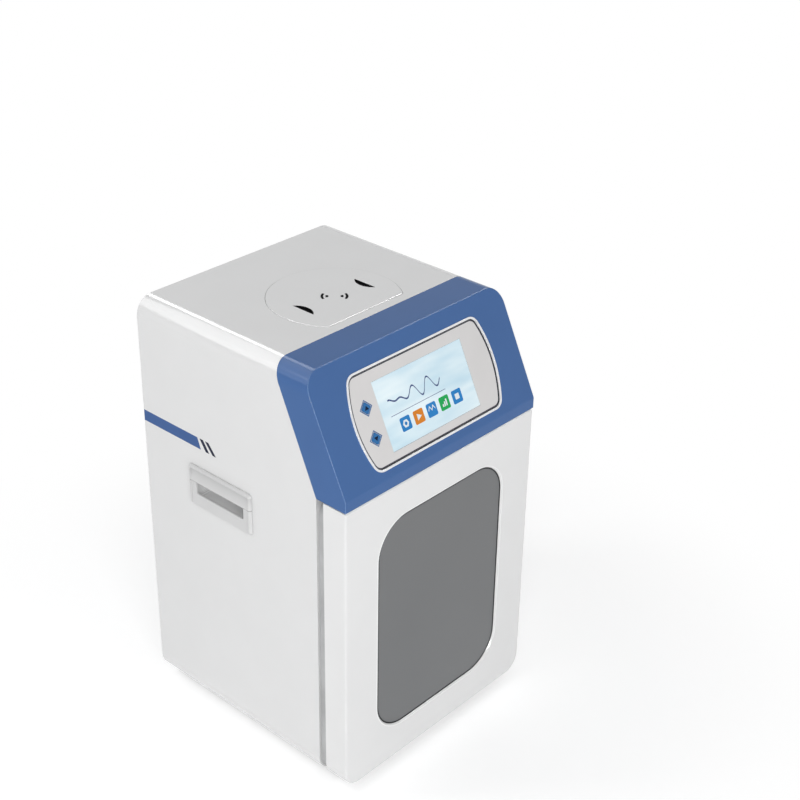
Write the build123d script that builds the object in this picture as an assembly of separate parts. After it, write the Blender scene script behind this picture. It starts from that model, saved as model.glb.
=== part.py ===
"""Bench probe sonicator: an ultrasonic probe and a lifting stage inside a sound cabinet.

Lengths are in millimetres. Every piece is drawn with x to the right, y back from the
door's face and z up from the cabinet's underside. At the end all pieces are moved
together, so that the origin is the middle of the footprint on the bench.
"""

from build123d import *
from math import cos, radians, sin
import os

# Cabinet shell, one wrap with rounded long edges
CABINET_WIDTH = 336.0
CABINET_HEIGHT = 556.5
EDGE_RADIUS = 24.0
SHELL_WALL = 2.5
REAR_RIM = 8.0
FRAME_THICKNESS = 2.5
PLATE_THICKNESS = 2.0
SHEET_THICKNESS = 1.5
MOUTH_RADIUS = 8.0

# Rubber feet
FOOT_HEIGHT = 12.0
FOOT_RADIUS = 15.0
FOOT_TAPER = 2.0
FOOT_INSET = 50.0

# Control head across the top front
HEAD_HEIGHT = 149.9
HEAD_WALL = 3.0
LIP_HEIGHT = 14.3
CREASE_DEPTH = 65.3
HEAD_TOP_DEPTH = 48.6
LIP_BEND = 6.0
CREASE_BEND = 2.0
CABLE_SLOT_WIDTH = 40.0
CABLE_SLOT_HEIGHT = 16.0

# Control panel on the tilted face, measured along the slope from the lip's bend
PANEL_LOW = 12.6
PANEL_HIGH = 125.6
PANEL_HALF_WIDTH = 107.6
PANEL_BULGE = 12.0
PANEL_CORNER = 12.0
PANEL_THICKNESS = 3.0
PANEL_RECESS = 0.8
PANEL_GROOVE = 1.4
TRIM_WIDTH = 2.6
TRIM_PROUD = 0.8
TRIM_LIP = 3.0
TRIM_LIP_THICKNESS = 1.5

# Touch screen, a 7 inch panel
SCREEN_WIDTH = 154.0
SCREEN_HEIGHT = 85.2
SCREEN_LOW = 24.2
SCREEN_RECESS = 0.4
SCREEN_MARGIN = 5.0
SCREEN_BODY = 6.0

# Raise and lower keys, and the board behind them
KEY_X = -95.8
KEY_HEIGHTS = {"lower_key": 48.7, "raise_key": 85.2}
KEY_HALF_DIAGONAL = 7.8
KEY_CORNER = 1.4
KEY_PROUD = 1.0
KEY_CLEARANCE = 0.25
KEY_FLANGE = 1.2
KEY_STEM_RADIUS = 2.5
KEY_STEM = 4.0
KEY_TRAVEL = 0.6
KEY_SPARE = 0.2
SWITCH_SIDE = 6.0
BOARD_WIDTH = 214.0
BOARD_HEIGHT = 92.0
BOARD_THICKNESS = 1.6
BOARD_GAP = 4.0
POST_RADIUS = 3.0
POST_INSET = 7.0

# Door
DOOR_THICKNESS = 36.0
DOOR_GAP = 10.0
DOOR_TOP_GAP = 1.4
DOOR_WALL = 3.0
DOOR_EDGE_RADIUS = 3.0
DOOR_REAR_RADIUS = 1.5
WINDOW_BESIDE = 56.0
WINDOW_LOW = 49.7
WINDOW_ABOVE = 45.3
WINDOW_RADIUS = 48.0
WINDOW_BEVEL = 1.5
PANE_THICKNESS = 4.0
PANE_RECESS = 2.0
GASKET_WIDTH = 1.4
GASKET_LIP = 5.0
GASKET_LIP_THICKNESS = 2.0
SEAL_WIDTH = 9.0
SEAL_INSET = 4.0
SEAL_CORNER = 20.0
SOFT_CLEARANCE = 0.3

# Door hinges, at the right
KNUCKLE_RADIUS = 4.0
HINGE_PIN_RADIUS = 2.0
PIN_CLEARANCE = 0.05
KNUCKLE_INSET = 0.2
LEAF_WIDTH = 19.0
LEAF_HEIGHT = 50.0
LEAF_THICKNESS = 2.0
KNUCKLE_LENGTH = 15.0
KNUCKLE_GAP = 0.3
LEAF_SETBACK = 0.5
LEAF_SEAL_GAP = 1.0
HINGE_INSET = 75.0

# Magnet catch, at the left
CATCH_WIDTH = 14.0
CATCH_HEIGHT = 60.0
STRIKE_THICKNESS = 2.0
CATCH_GAP = 0.4

# Chamber
MOUTH_MARGIN = 5.0
SILL_HEIGHT = 3.5
LINTEL_DROP = 4.0
LINER_THICKNESS = 1.0
LINER_GAP = 0.2
SIDE_FOAM = 29.5
FLOOR_FOAM = 35.5
REAR_FOAM = 18.0
CEILING_FOAM = 16.0
FOAM_FOOT = 26.0
DECK_DROP = 28.6

# Probe and the transducer that drives it
PROBE_Y = 180.9
STACK_RADIUS = 25.0
FLANGE_RADIUS = 33.0
FLANGE_THICKNESS = 5.0
FRONT_MASS_BELOW = 13.0
FRONT_MASS_ABOVE = 27.0
DISC_COUNT = 4
DISC_THICKNESS = 5.0
ELECTRODE_GAP = 0.4
DISC_BORE = 9.0
BACK_MASS_LENGTH = 45.0
STACK_BOLT_RADIUS = 8.0
STACK_BOLT_HEAD = 8.0
STACK_CLEARANCE = 1.0
HORN_STRAIGHT = 20.0
HORN_FLARE = 40.0
HORN_NECK = 5.0
HORN_TIP_RADIUS = 7.0
PROBE_LENGTH = 110.0
PROBE_SHANK = 20.0
PROBE_SHANK_RADIUS = 6.0
PROBE_TAPER = 18.0
PROBE_TIP_RADIUS = 3.0
HOUSING_RADIUS = 45.0
HOUSING_WALL = 2.5
HOUSING_HEIGHT = 140.0
HOUSING_FLANGE = 7.0
HOUSING_FLANGE_THICKNESS = 4.0
HOUSING_CABLE_RADIUS = 6.0
HOUSING_EDGE = 4.0
HORN_HOLE_RADIUS = 35.0

# Sample stage and its lift
PLATFORM_RADIUS = 60.0
PLATFORM_THICKNESS = 5.0
PLATFORM_RIM = 1.5
PLATFORM_RIM_WIDTH = 3.0
STAGE_REST = 25.5
STAGE_GAP = 3.0
CARRIAGE_HALF_WIDTH = 60.0
CARRIAGE_DEPTH = 24.0
CARRIAGE_HEIGHT = 30.0
CARRIAGE_BACK_GAP = 4.0
CARRIAGE_CORNER = 4.0
ARM_HALF_WIDTH = 28.0
ARM_THICKNESS = 5.0
ARM_REACH = 94.0
ROD_RADIUS = 5.0
ROD_OFFSET = 46.0
SCREW_RADIUS = 4.0
NUT_RADIUS = 7.0
NUT_FLANGE_RADIUS = 12.0
NUT_FLANGE_THICKNESS = 4.0
BLOCK_HALF_WIDTH = 62.0
BLOCK_HEIGHT = 12.0
BLOCK_DROP = 20.0
BEARING_FLOOR = 1.2
RUNNING_CLEARANCE = 0.05
SCREW_END_GAP = 0.3
COUPLING_RADIUS = 9.5
COUPLING_LENGTH = 24.0
COUPLING_DROP = 4.0
COUPLING_SPLIT = 1.5
COUPLING_HOLE_RADIUS = 13.0
MOTOR_SIDE = 42.3
MOTOR_HEIGHT = 40.0
MOTOR_CORNER = 4.0
MOTOR_PILOT_RADIUS = 11.0
MOTOR_SHAFT_RADIUS = 2.5
MOTOR_SHAFT_INSIDE = 15.0

# Chamber lamp and temperature probe
LAMP_LENGTH = 120.0
LAMP_WIDTH = 14.0
LAMP_SETBACK = 14.0
LAMP_DROP = 5.0
LAMP_ROUND = 3.0
SENSOR_X = 36.0
SENSOR_AHEAD = 16.0
SENSOR_RADIUS = 2.0
SENSOR_LENGTH = 165.0
SENSOR_HOLDER_RADIUS = 6.0
SENSOR_HOLDER_DROP = 22.0

# Access lid on top, a round lid cut straight at the front
LID_RADIUS = 83.4
LID_FRONT = 53.2
LID_CORNER = 6.0
LID_THICKNESS = 3.6
LID_RECESS = 3.0
LID_CLEARANCE = 0.4
LID_SEAT = 8.0
LID_BEVEL = 0.5
GRIP_CHORD_X = 53.2
GRIP_LENGTH = 35.6
GRIP_BULGE = 9.0
VENT_RADIUS = 15.2
VENT_SPAN = 36.0
VENT_WIDTH = 3.0
DOT_OFFSET = 8.8
DOT_RADIUS = 1.6

# Side handles
HANDLE_Y = 209.4
HANDLE_BELOW_DECK = 42.8
HANDLE_LENGTH = 109.6
HANDLE_HEIGHT = 56.5
HANDLE_PROUD = 4.0
HANDLE_BEVEL = 2.5
HANDLE_CORNER = 4.0
HANDLE_RIM = 4.0
SCOOP_DEPTH = 2.4
LIP_STEP = 1.2
CUP_LENGTH = 88.0
CUP_HEIGHT = 36.0
CUP_DEPTH = 22.0
CUP_WALL = 2.0
CUP_CORNER = 5.0
MOUTH_LENGTH = 84.0
MOUTH_HEIGHT = 17.0
MOUTH_DROP = 2.0
MOUTH_CORNER = 2.0

# Electronics
SUPPLY_WIDTH = 100.0
SUPPLY_HEIGHT = 200.0
SUPPLY_DEPTH = 34.0
SUPPLY_BESIDE = 18.0
SUPPLY_Z = 160.0
SUPPLY_CLEARANCE = 11.5
GENERATOR_BESIDE = 8.0
GENERATOR_GAP = 12.0
GENERATOR_Y = 198.0
GENERATOR_LENGTH = 176.0
GENERATOR_LIFT = 8.0
SINK_GAP = 8.0
SINK_LENGTH = 140.0
SINK_HEIGHT = 34.0
SINK_BASE = 4.0
FIN_COUNT = 7
FIN_THICKNESS = 2.0
CORE_WIDTH = 36.0
CORE_LENGTH = 44.0
CORE_HEIGHT = 34.0
CAPACITOR_RADIUS = 11.0
CAPACITOR_HEIGHT = 36.0
CAPACITOR_COUNT = 3
CAPACITOR_PITCH = 26.0

# Cooling fan in the rear panel
FAN_X = 60.0
FAN_BELOW_TOP = 86.5
FAN_SIDE = 80.0
FAN_DEPTH = 25.0
FAN_CORNER = 4.0
FAN_DUCT_RADIUS = 38.0
FAN_HUB_RADIUS = 16.0
FAN_HUB_DEPTH = 19.0
FAN_HUB_PLATE = 3.0
FAN_ARM_WIDTH = 4.0
FAN_SHAFT_RADIUS = 2.0
FAN_SHAFT_LENGTH = 14.0
FAN_AXIAL_GAP = 0.5
BLADE_COUNT = 7
BLADE_PITCH = 38.0
BLADE_CHORD = 24.0
BLADE_THICKNESS = 1.6
BLADE_TIP_GAP = 1.2
GUARD_WIRE_RADIUS = 1.0
GUARD_RINGS = 4
GUARD_PITCH = 8.5
GUARD_SINK = 0.4

# Rear vents
REAR_VENT_COUNT = 9
REAR_VENT_LENGTH = 70.0
REAR_VENT_HEIGHT = 3.0
REAR_VENT_PITCH = 8.0
REAR_VENT_X = -75.0
REAR_VENT_BELOW_TOP = 54.0

# Mains inlet and power switch, low on the rear panel
INLET_X = 105.0
INLET_Z = 70.0
INLET_WIDTH = 30.0
INLET_HEIGHT = 24.0
INLET_DEPTH = 28.0
INLET_FLANGE = 6.0
INLET_SOCKET_WIDTH = 24.4
INLET_SOCKET_HEIGHT = 16.4
INLET_SOCKET_DEPTH = 17.0
INLET_SOCKET_CORNER = 5.0
INLET_PIN_WIDTH = 2.0
INLET_PIN_HEIGHT = 4.0
INLET_PIN_LENGTH = 15.0
INLET_PIN_SPACING = 7.0
INLET_PIN_RISE = 2.0
SWITCH_X = 55.0
SWITCH_WIDTH = 23.0
SWITCH_HEIGHT = 28.0
SWITCH_DEPTH = 18.0
SWITCH_FLANGE = 2.0
SWITCH_CAVITY_WIDTH = 18.0
SWITCH_CAVITY_HEIGHT = 24.0
SWITCH_CAVITY_DEPTH = 14.0
ROCKER_SIDE_GAP = 0.5
ROCKER_HALF_HEIGHT = 10.5
ROCKER_FACE = 7.0
ROCKER_DISH = 2.0
ROCKER_BACK = 5.0
ROCKER_TILT = 10.0
ROCKER_PIN_RADIUS = 1.5
ROCKER_PIN_LENGTH = 1.8
ROCKER_SINK = 4.0

# Places that follow from the sizes above
BODY_Y = DOOR_THICKNESS + DOOR_GAP
HEAD_Z = CABINET_HEIGHT - HEAD_HEIGHT
LIP_Z = HEAD_Z + LIP_HEIGHT
HEAD_REAR_Y = CREASE_DEPTH + HEAD_TOP_DEPTH
DOOR_HEIGHT = HEAD_Z - DOOR_TOP_GAP
WINDOW_HALF_WIDTH = CABINET_WIDTH / 2 - WINDOW_BESIDE
WINDOW_TOP = DOOR_HEIGHT - WINDOW_ABOVE
HINGE_HEIGHTS = (HINGE_INSET, DOOR_HEIGHT - HINGE_INSET)
CATCH_Z = DOOR_HEIGHT / 2
FRAME_REAR = BODY_Y + FRAME_THICKNESS
BASE_TOP = SHELL_WALL + PLATE_THICKNESS
DECK_Z = HEAD_Z - DECK_DROP
DECK_TOP = DECK_Z + PLATE_THICKNESS
CEILING_Z = DECK_Z - CEILING_FOAM
FLOOR_Z = BASE_TOP + FLOOR_FOAM
FLOOR_TOP = FLOOR_Z + SHEET_THICKNESS
LINER_OUTER = CABINET_WIDTH / 2 - SHELL_WALL - SIDE_FOAM
CHAMBER_HALF_WIDTH = LINER_OUTER - LINER_THICKNESS
LIFT_FRONT = PROBE_Y + PLATFORM_RADIUS + STAGE_GAP
LIFT_Y = LIFT_FRONT + CARRIAGE_DEPTH / 2
CHAMBER_REAR = LIFT_FRONT + CARRIAGE_DEPTH + CARRIAGE_BACK_GAP
LINER_REAR = CHAMBER_REAR + LINER_THICKNESS
FOAM_REAR = LINER_REAR + REAR_FOAM
DIVIDER_REAR = FOAM_REAR + SHEET_THICKNESS
PANEL_FRONT_Y = DIVIDER_REAR + SUPPLY_DEPTH + SUPPLY_CLEARANCE
PANEL_REAR_Y = PANEL_FRONT_Y + PLATE_THICKNESS
CABINET_DEPTH = PANEL_REAR_Y + REAR_RIM
HORN_TOP = DECK_TOP - FRONT_MASS_BELOW - PLATE_THICKNESS
PROBE_TOP = HORN_TOP - HORN_STRAIGHT - HORN_FLARE - HORN_NECK
TIP_Z = PROBE_TOP - PROBE_LENGTH
PLATFORM_TOP = FLOOR_TOP + STAGE_REST
PLATFORM_Z = PLATFORM_TOP - PLATFORM_THICKNESS
CARRIAGE_Z = PLATFORM_Z - ARM_THICKNESS
SEAT_Z = CABINET_HEIGHT - LID_RECESS
FAN_Z = CABINET_HEIGHT - FAN_BELOW_TOP
HANDLE_Z = DECK_Z - HANDLE_BELOW_DECK
MOUTH_Z = HANDLE_Z - MOUTH_DROP
LIP_EDGE_Z = MOUTH_Z + MOUTH_HEIGHT / 2
SUPPLY_X = SUPPLY_BESIDE + SUPPLY_WIDTH / 2 - CABINET_WIDTH / 2
GENERATOR_LEFT = GENERATOR_BESIDE - CABINET_WIDTH / 2
GENERATOR_RIGHT = -HOUSING_RADIUS - HOUSING_FLANGE - GENERATOR_GAP
SINK_LEFT = GENERATOR_LEFT + POST_INSET
CORE_X = GENERATOR_RIGHT - POST_INSET - CORE_WIDTH / 2
SINK_WIDTH = CORE_X - CORE_WIDTH / 2 - SINK_GAP - SINK_LEFT
HINGE_X = CABINET_WIDTH / 2 - KNUCKLE_RADIUS - KNUCKLE_INSET
HINGE_Y = DOOR_THICKNESS + DOOR_GAP / 2
SCREW_LOW = FLOOR_TOP + BEARING_FLOOR + SCREW_END_GAP
TOP_BLOCK_Z = CEILING_Z - BLOCK_DROP - BLOCK_HEIGHT
COUPLING_TOP = DECK_Z - COUPLING_DROP
COUPLING_LOW = COUPLING_TOP - COUPLING_LENGTH
COUPLING_MIDDLE = COUPLING_TOP - COUPLING_LENGTH / 2
PANEL_BACK = PANEL_RECESS + PANEL_THICKNESS
SCREEN_BACK = PANEL_BACK + SCREEN_BODY
BOARD_FRONT = SCREEN_BACK + BOARD_GAP


def box(x0, x1, y0, y1, z0, z1):
    """A box between two corners."""
    return Pos((x0 + x1) / 2, (y0 + y1) / 2, (z0 + z1) / 2) * Box(x1 - x0, y1 - y0, z1 - z0)


def rod(radius, x, y, z0, z1):
    """An upright cylinder."""
    return Pos(x, y, (z0 + z1) / 2) * Cylinder(radius, z1 - z0)


def cross_rod(radius, x0, x1, y, z):
    """A cylinder that lies along x."""
    return Pos((x0 + x1) / 2, y, z) * Rot(0, 90, 0) * Cylinder(radius, x1 - x0)


def deep_rod(radius, x, y0, y1, z):
    """A cylinder that lies along y."""
    return Pos(x, (y0 + y1) / 2, z) * Rot(90, 0, 0) * Cylinder(radius, y1 - y0)


def along_x(sketch, x0, x1):
    """A sketch drawn in (y, z), pulled along x."""
    plane = Plane(origin=(x0, 0, 0), x_dir=(0, 1, 0), z_dir=(1, 0, 0))
    return extrude(plane * sketch, amount=x1 - x0)


def along_y(sketch, y0, y1):
    """A sketch drawn in (x, z), pulled along y."""
    plane = Plane(origin=(0, y1, 0), x_dir=(1, 0, 0), z_dir=(0, -1, 0))
    return extrude(plane * sketch, amount=y1 - y0)


def along_z(sketch, z0, z1):
    """A sketch drawn in (x, y), pulled along z."""
    return extrude(Plane.XY.offset(z0) * sketch, amount=z1 - z0)


def rectangle(x0, x1, y0, y1, radius=0.0):
    """A rectangle between two corners, its own corners rounded."""
    shape = RectangleRounded(x1 - x0, y1 - y0, radius) if radius else Rectangle(x1 - x0, y1 - y0)
    return Pos((x0 + x1) / 2, (y0 + y1) / 2) * shape


SLOPE = Plane(
    origin=(0, 0, LIP_Z),
    x_dir=(1, 0, 0),
    z_dir=(0, -(CABINET_HEIGHT - LIP_Z), CREASE_DEPTH),
)


def on_slope(sketch, outer, inner):
    """A sketch drawn on the tilted face, pulled from one depth below it to another."""
    return extrude(SLOPE.offset(-inner) * sketch, amount=inner - outer)


def cabinet_outline(inset):
    """The front view of the wrap, moved in by a wall."""
    radius = EDGE_RADIUS - inset
    shape = RectangleRounded(CABINET_WIDTH - 2 * inset, CABINET_HEIGHT - 2 * inset, radius)
    return Pos(0, CABINET_HEIGHT / 2) * shape


def cabinet_band(low, high):
    """The inside of the wrap between two heights."""
    half = CABINET_WIDTH / 2
    return cabinet_outline(SHELL_WALL) & rectangle(-half, half, low, high)


def lid_outline():
    """The access lid's outline, round with a straight front edge."""
    keep = rectangle(-LID_RADIUS, LID_RADIUS, -LID_FRONT, LID_RADIUS)
    shape = Circle(LID_RADIUS) & keep
    corners = shape.vertices().filter_by(lambda vertex: vertex.Y < -LID_FRONT + 0.01)
    return Pos(0, PROBE_Y) * fillet(corners, LID_CORNER)


def door_outline(inset):
    """The front view of the door: its lower corners follow the cabinet's."""
    half = CABINET_WIDTH / 2 - inset
    shape = rectangle(-half, half, inset, DOOR_HEIGHT - inset)
    return fillet(shape.vertices().sort_by(Axis.Y)[:2], EDGE_RADIUS - inset)


def window_outline(grow):
    """The window's outline, made larger or smaller all round."""
    half = WINDOW_HALF_WIDTH + grow
    top = WINDOW_TOP + grow
    return rectangle(-half, half, WINDOW_LOW - grow, top, WINDOW_RADIUS + grow)


def panel_outline():
    """The control panel's outline on the slope: straight above and below, bowed at the sides."""
    half = PANEL_HALF_WIDTH
    middle = (PANEL_LOW + PANEL_HIGH) / 2
    bottom = Line((-half, PANEL_LOW), (half, PANEL_LOW))
    right = ThreePointArc((half, PANEL_LOW), (half + PANEL_BULGE, middle), (half, PANEL_HIGH))
    top = Line((half, PANEL_HIGH), (-half, PANEL_HIGH))
    left = ThreePointArc((-half, PANEL_HIGH), (-half - PANEL_BULGE, middle), (-half, PANEL_LOW))
    shape = make_face(bottom + right + top + left)
    return fillet(shape.vertices(), PANEL_CORNER)


def key_outline(grow):
    """A key's outline: a square standing on its corner."""
    side = (KEY_HALF_DIAGONAL + grow) * 2 * cos(radians(45))
    return Rot(0, 0, 45) * RectangleRounded(side, side, KEY_CORNER)


def make_cabinet_shell():
    """The white wrap: top, sides and bottom in one, with a pressed seat for the lid."""
    wrap = cabinet_outline(0) - cabinet_outline(SHELL_WALL)
    shell = along_y(wrap, BODY_Y, CABINET_DEPTH)
    lean = (HEAD_REAR_Y - BODY_Y) / HEAD_HEIGHT
    above = CABINET_HEIGHT + EDGE_RADIUS
    front = Polygon(
        (0, HEAD_Z),
        (BODY_Y, HEAD_Z),
        (BODY_Y + lean * (above - HEAD_Z), above),
        (0, above),
        align=None,
    )
    half = CABINET_WIDTH / 2
    shell -= along_x(front, -half - 1, half + 1)
    outline = lid_outline()
    seat = offset(outline, SHELL_WALL)
    shell += along_z(seat, SEAT_Z - SHELL_WALL, CABINET_HEIGHT - SHELL_WALL / 2)
    shell -= along_z(outline, SEAT_Z, CABINET_HEIGHT + 1)
    shell -= along_z(offset(outline, -LID_SEAT), SEAT_Z - SHELL_WALL - 1, SEAT_Z + 1)
    for side in (-1, 1):
        edges = sorted((side * (half + 1), side * (half - SHELL_WALL - 1)))
        shell -= along_x(cup_outline(CUP_WALL), *edges)
    return shell


def make_front_frame():
    """The flat frame round the chamber's mouth, behind the door."""
    mouth_half = CHAMBER_HALF_WIDTH - MOUTH_MARGIN
    mouth = rectangle(
        -mouth_half, mouth_half, FLOOR_TOP + SILL_HEIGHT, CEILING_Z - LINTEL_DROP, MOUTH_RADIUS
    )
    return along_y(cabinet_band(SHELL_WALL, HEAD_Z) - mouth, BODY_Y, FRAME_REAR)


def make_base_plate():
    """The steel plate that lies on the wrap's bottom and carries what stands above."""
    half = CABINET_WIDTH / 2 - EDGE_RADIUS
    return box(-half, half, FRAME_REAR, PANEL_FRONT_Y, SHELL_WALL, BASE_TOP)


def make_rubber_feet():
    """Four tapered feet under the flat of the wrap's bottom."""
    feet = []
    for x in (-1, 1):
        for y in (BODY_Y + FOOT_INSET, CABINET_DEPTH - FOOT_INSET):
            foot = Cone(FOOT_RADIUS - FOOT_TAPER, FOOT_RADIUS, FOOT_HEIGHT)
            feet.append(Pos(x * (CABINET_WIDTH / 2 - FOOT_INSET), y, -FOOT_HEIGHT / 2) * foot)
    return Compound(children=feet)


def make_rear_panel():
    """The recessed rear panel, cut for the fan, the vents, the inlet and the switch."""
    panel = along_y(cabinet_outline(SHELL_WALL), PANEL_FRONT_Y, PANEL_REAR_Y)
    panel -= deep_rod(FAN_DUCT_RADIUS, FAN_X, PANEL_FRONT_Y - 1, PANEL_REAR_Y + 1, FAN_Z)
    for row in range(REAR_VENT_COUNT):
        z = CABINET_HEIGHT - REAR_VENT_BELOW_TOP - row * REAR_VENT_PITCH
        slot = Pos(REAR_VENT_X, z) * SlotOverall(REAR_VENT_LENGTH, REAR_VENT_HEIGHT)
        panel -= along_y(slot, PANEL_FRONT_Y - 1, PANEL_REAR_Y + 1)
    inlet = Pos(INLET_X, INLET_Z) * Rectangle(INLET_WIDTH, INLET_HEIGHT)
    switch = Pos(SWITCH_X, INLET_Z) * Rectangle(SWITCH_WIDTH, SWITCH_HEIGHT)
    panel -= along_y(inlet, PANEL_FRONT_Y - 1, PANEL_REAR_Y + 1)
    panel -= along_y(switch, PANEL_FRONT_Y - 1, PANEL_REAR_Y + 1)
    return panel


def make_divider_wall():
    """The sheet between the chamber and the rear bay."""
    return along_y(cabinet_band(BASE_TOP, DECK_Z), FOAM_REAR, DIVIDER_REAR)


def make_deck_plate():
    """The plate above the chamber, which carries the transducer and the lift motor."""
    half = CABINET_WIDTH / 2 - SHELL_WALL
    deck = box(-half, half, FRAME_REAR, DIVIDER_REAR, DECK_Z, DECK_TOP)
    deck -= rod(STACK_RADIUS + STACK_CLEARANCE, 0, PROBE_Y, DECK_Z - 1, DECK_TOP + 1)
    return deck - rod(MOTOR_PILOT_RADIUS, 0, LIFT_Y, DECK_Z - 1, DECK_TOP + 1)


def make_head_bulkhead():
    """The slanted sheet behind the control head, with a slot for the cables."""
    lean = (HEAD_REAR_Y - BODY_Y) / HEAD_HEIGHT
    top = CABINET_HEIGHT - SHELL_WALL
    reach = lean * (top - HEAD_Z)
    profile = Polygon(
        (BODY_Y, HEAD_Z),
        (BODY_Y + SHEET_THICKNESS, HEAD_Z),
        (BODY_Y + SHEET_THICKNESS + reach, top),
        (BODY_Y + reach, top),
        align=None,
    )
    half = CABINET_WIDTH / 2
    sheet = along_x(profile, -half, half)
    sheet &= along_y(cabinet_outline(SHELL_WALL), 0, CABINET_DEPTH)
    middle = (HEAD_Z + top) / 2
    slot = Pos(0, middle) * SlotOverall(CABLE_SLOT_WIDTH, CABLE_SLOT_HEIGHT)
    return sheet - along_y(slot, 0, CABINET_DEPTH)


def make_control_head():
    """The blue moulding across the top front, open at its slanted rear."""
    profile = Polygon(
        (0, HEAD_Z),
        (BODY_Y, HEAD_Z),
        (HEAD_REAR_Y, CABINET_HEIGHT),
        (CREASE_DEPTH, CABINET_HEIGHT),
        (0, LIP_Z),
        align=None,
    )
    inner = offset(profile, -HEAD_WALL, kind=Kind.INTERSECTION)
    lip_corner = profile.vertices().sort_by_distance((0, LIP_Z))[:1]
    outer = fillet(lip_corner, LIP_BEND)
    crease = outer.vertices().sort_by_distance((CREASE_DEPTH, CABINET_HEIGHT))[:1]
    outer = fillet(crease, CREASE_BEND)
    half = CABINET_WIDTH / 2
    head = along_x(outer, -half, half) & along_y(cabinet_outline(0), -1, HEAD_REAR_Y + 1)
    cavity = along_x(inner + Pos(HEAD_WALL * 2, 0) * inner, -half, half)
    cavity &= along_y(cabinet_outline(HEAD_WALL), -1, HEAD_REAR_Y + HEAD_WALL * 3)
    head -= cavity
    return head - on_slope(offset(panel_outline(), TRIM_WIDTH), -2, HEAD_WALL + 1)


def make_panel_trim():
    """The raised white ring round the control panel, with a lip that the panel sits on."""
    outline = panel_outline()
    outer = offset(outline, TRIM_WIDTH)
    ring = on_slope(outer - outline, -TRIM_PROUD, PANEL_BACK)
    lip = outer - offset(outline, -TRIM_LIP)
    return ring + on_slope(lip, PANEL_BACK, PANEL_BACK + TRIM_LIP_THICKNESS)


def make_control_panel():
    """The grey panel that holds the screen and the two keys."""
    face = offset(panel_outline(), -PANEL_GROOVE)
    half = SCREEN_WIDTH / 2
    face -= rectangle(-half, half, SCREEN_LOW, SCREEN_LOW + SCREEN_HEIGHT)
    for height in KEY_HEIGHTS.values():
        face -= Pos(KEY_X, height) * key_outline(KEY_CLEARANCE)
    return on_slope(face, PANEL_RECESS, PANEL_BACK)


def make_touch_screen():
    """The display: its glass fills the panel's window, its body lies behind the panel."""
    half = SCREEN_WIDTH / 2
    top = SCREEN_LOW + SCREEN_HEIGHT
    glass = rectangle(-half, half, SCREEN_LOW, top)
    body = rectangle(
        -half - SCREEN_MARGIN, half + SCREEN_MARGIN, SCREEN_LOW - SCREEN_MARGIN, top + SCREEN_MARGIN
    )
    screen = on_slope(glass, PANEL_RECESS + SCREEN_RECESS, PANEL_BACK)
    return screen + on_slope(body, PANEL_BACK, SCREEN_BACK)


def make_key(height):
    """One key: cap through the panel, a flange behind it and a stem towards its switch."""
    place = Pos(KEY_X, height)
    cap = on_slope(place * key_outline(0), PANEL_RECESS - KEY_PROUD, PANEL_BACK + KEY_CLEARANCE)
    top = cap.faces().sort_by(Axis(SLOPE.origin, SLOPE.z_dir))[-1]
    cap = chamfer(top.edges(), KEY_PROUD / 2)
    flange_top = PANEL_BACK + KEY_CLEARANCE
    flange = on_slope(place * key_outline(KEY_FLANGE), flange_top, flange_top + KEY_FLANGE)
    stem_top = flange_top + KEY_FLANGE
    stem = on_slope(place * Circle(KEY_STEM_RADIUS), stem_top, stem_top + KEY_STEM)
    return cap + flange + stem


def make_control_board():
    """The circuit board behind the panel, on posts from the display's back."""
    middle = SCREEN_LOW + SCREEN_HEIGHT / 2
    face = Pos(0, middle) * Rectangle(BOARD_WIDTH, BOARD_HEIGHT)
    board = on_slope(face, BOARD_FRONT, BOARD_FRONT + BOARD_THICKNESS)
    across = SCREEN_WIDTH / 2 - POST_INSET
    up = SCREEN_HEIGHT / 2 - POST_INSET
    for x in (-across, across):
        for s in (middle - up, middle + up):
            board += on_slope(Pos(x, s) * Circle(POST_RADIUS), SCREEN_BACK, BOARD_FRONT)
    return board


def make_key_switches():
    """The two switches on the board, one behind each key."""
    key_end = PANEL_BACK + KEY_CLEARANCE + KEY_FLANGE + KEY_STEM
    top = key_end + KEY_TRAVEL + KEY_SPARE
    body = Rectangle(SWITCH_SIDE, SWITCH_SIDE)
    switches = [on_slope(Pos(KEY_X, s) * body, top, BOARD_FRONT) for s in KEY_HEIGHTS.values()]
    return Compound(children=switches)


def cup_outline(grow):
    """A handle cup's outline in (y, z)."""
    shape = RectangleRounded(CUP_LENGTH + 2 * grow, CUP_HEIGHT + 2 * grow, CUP_CORNER + grow)
    return Pos(HANDLE_Y, HANDLE_Z) * shape


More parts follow.
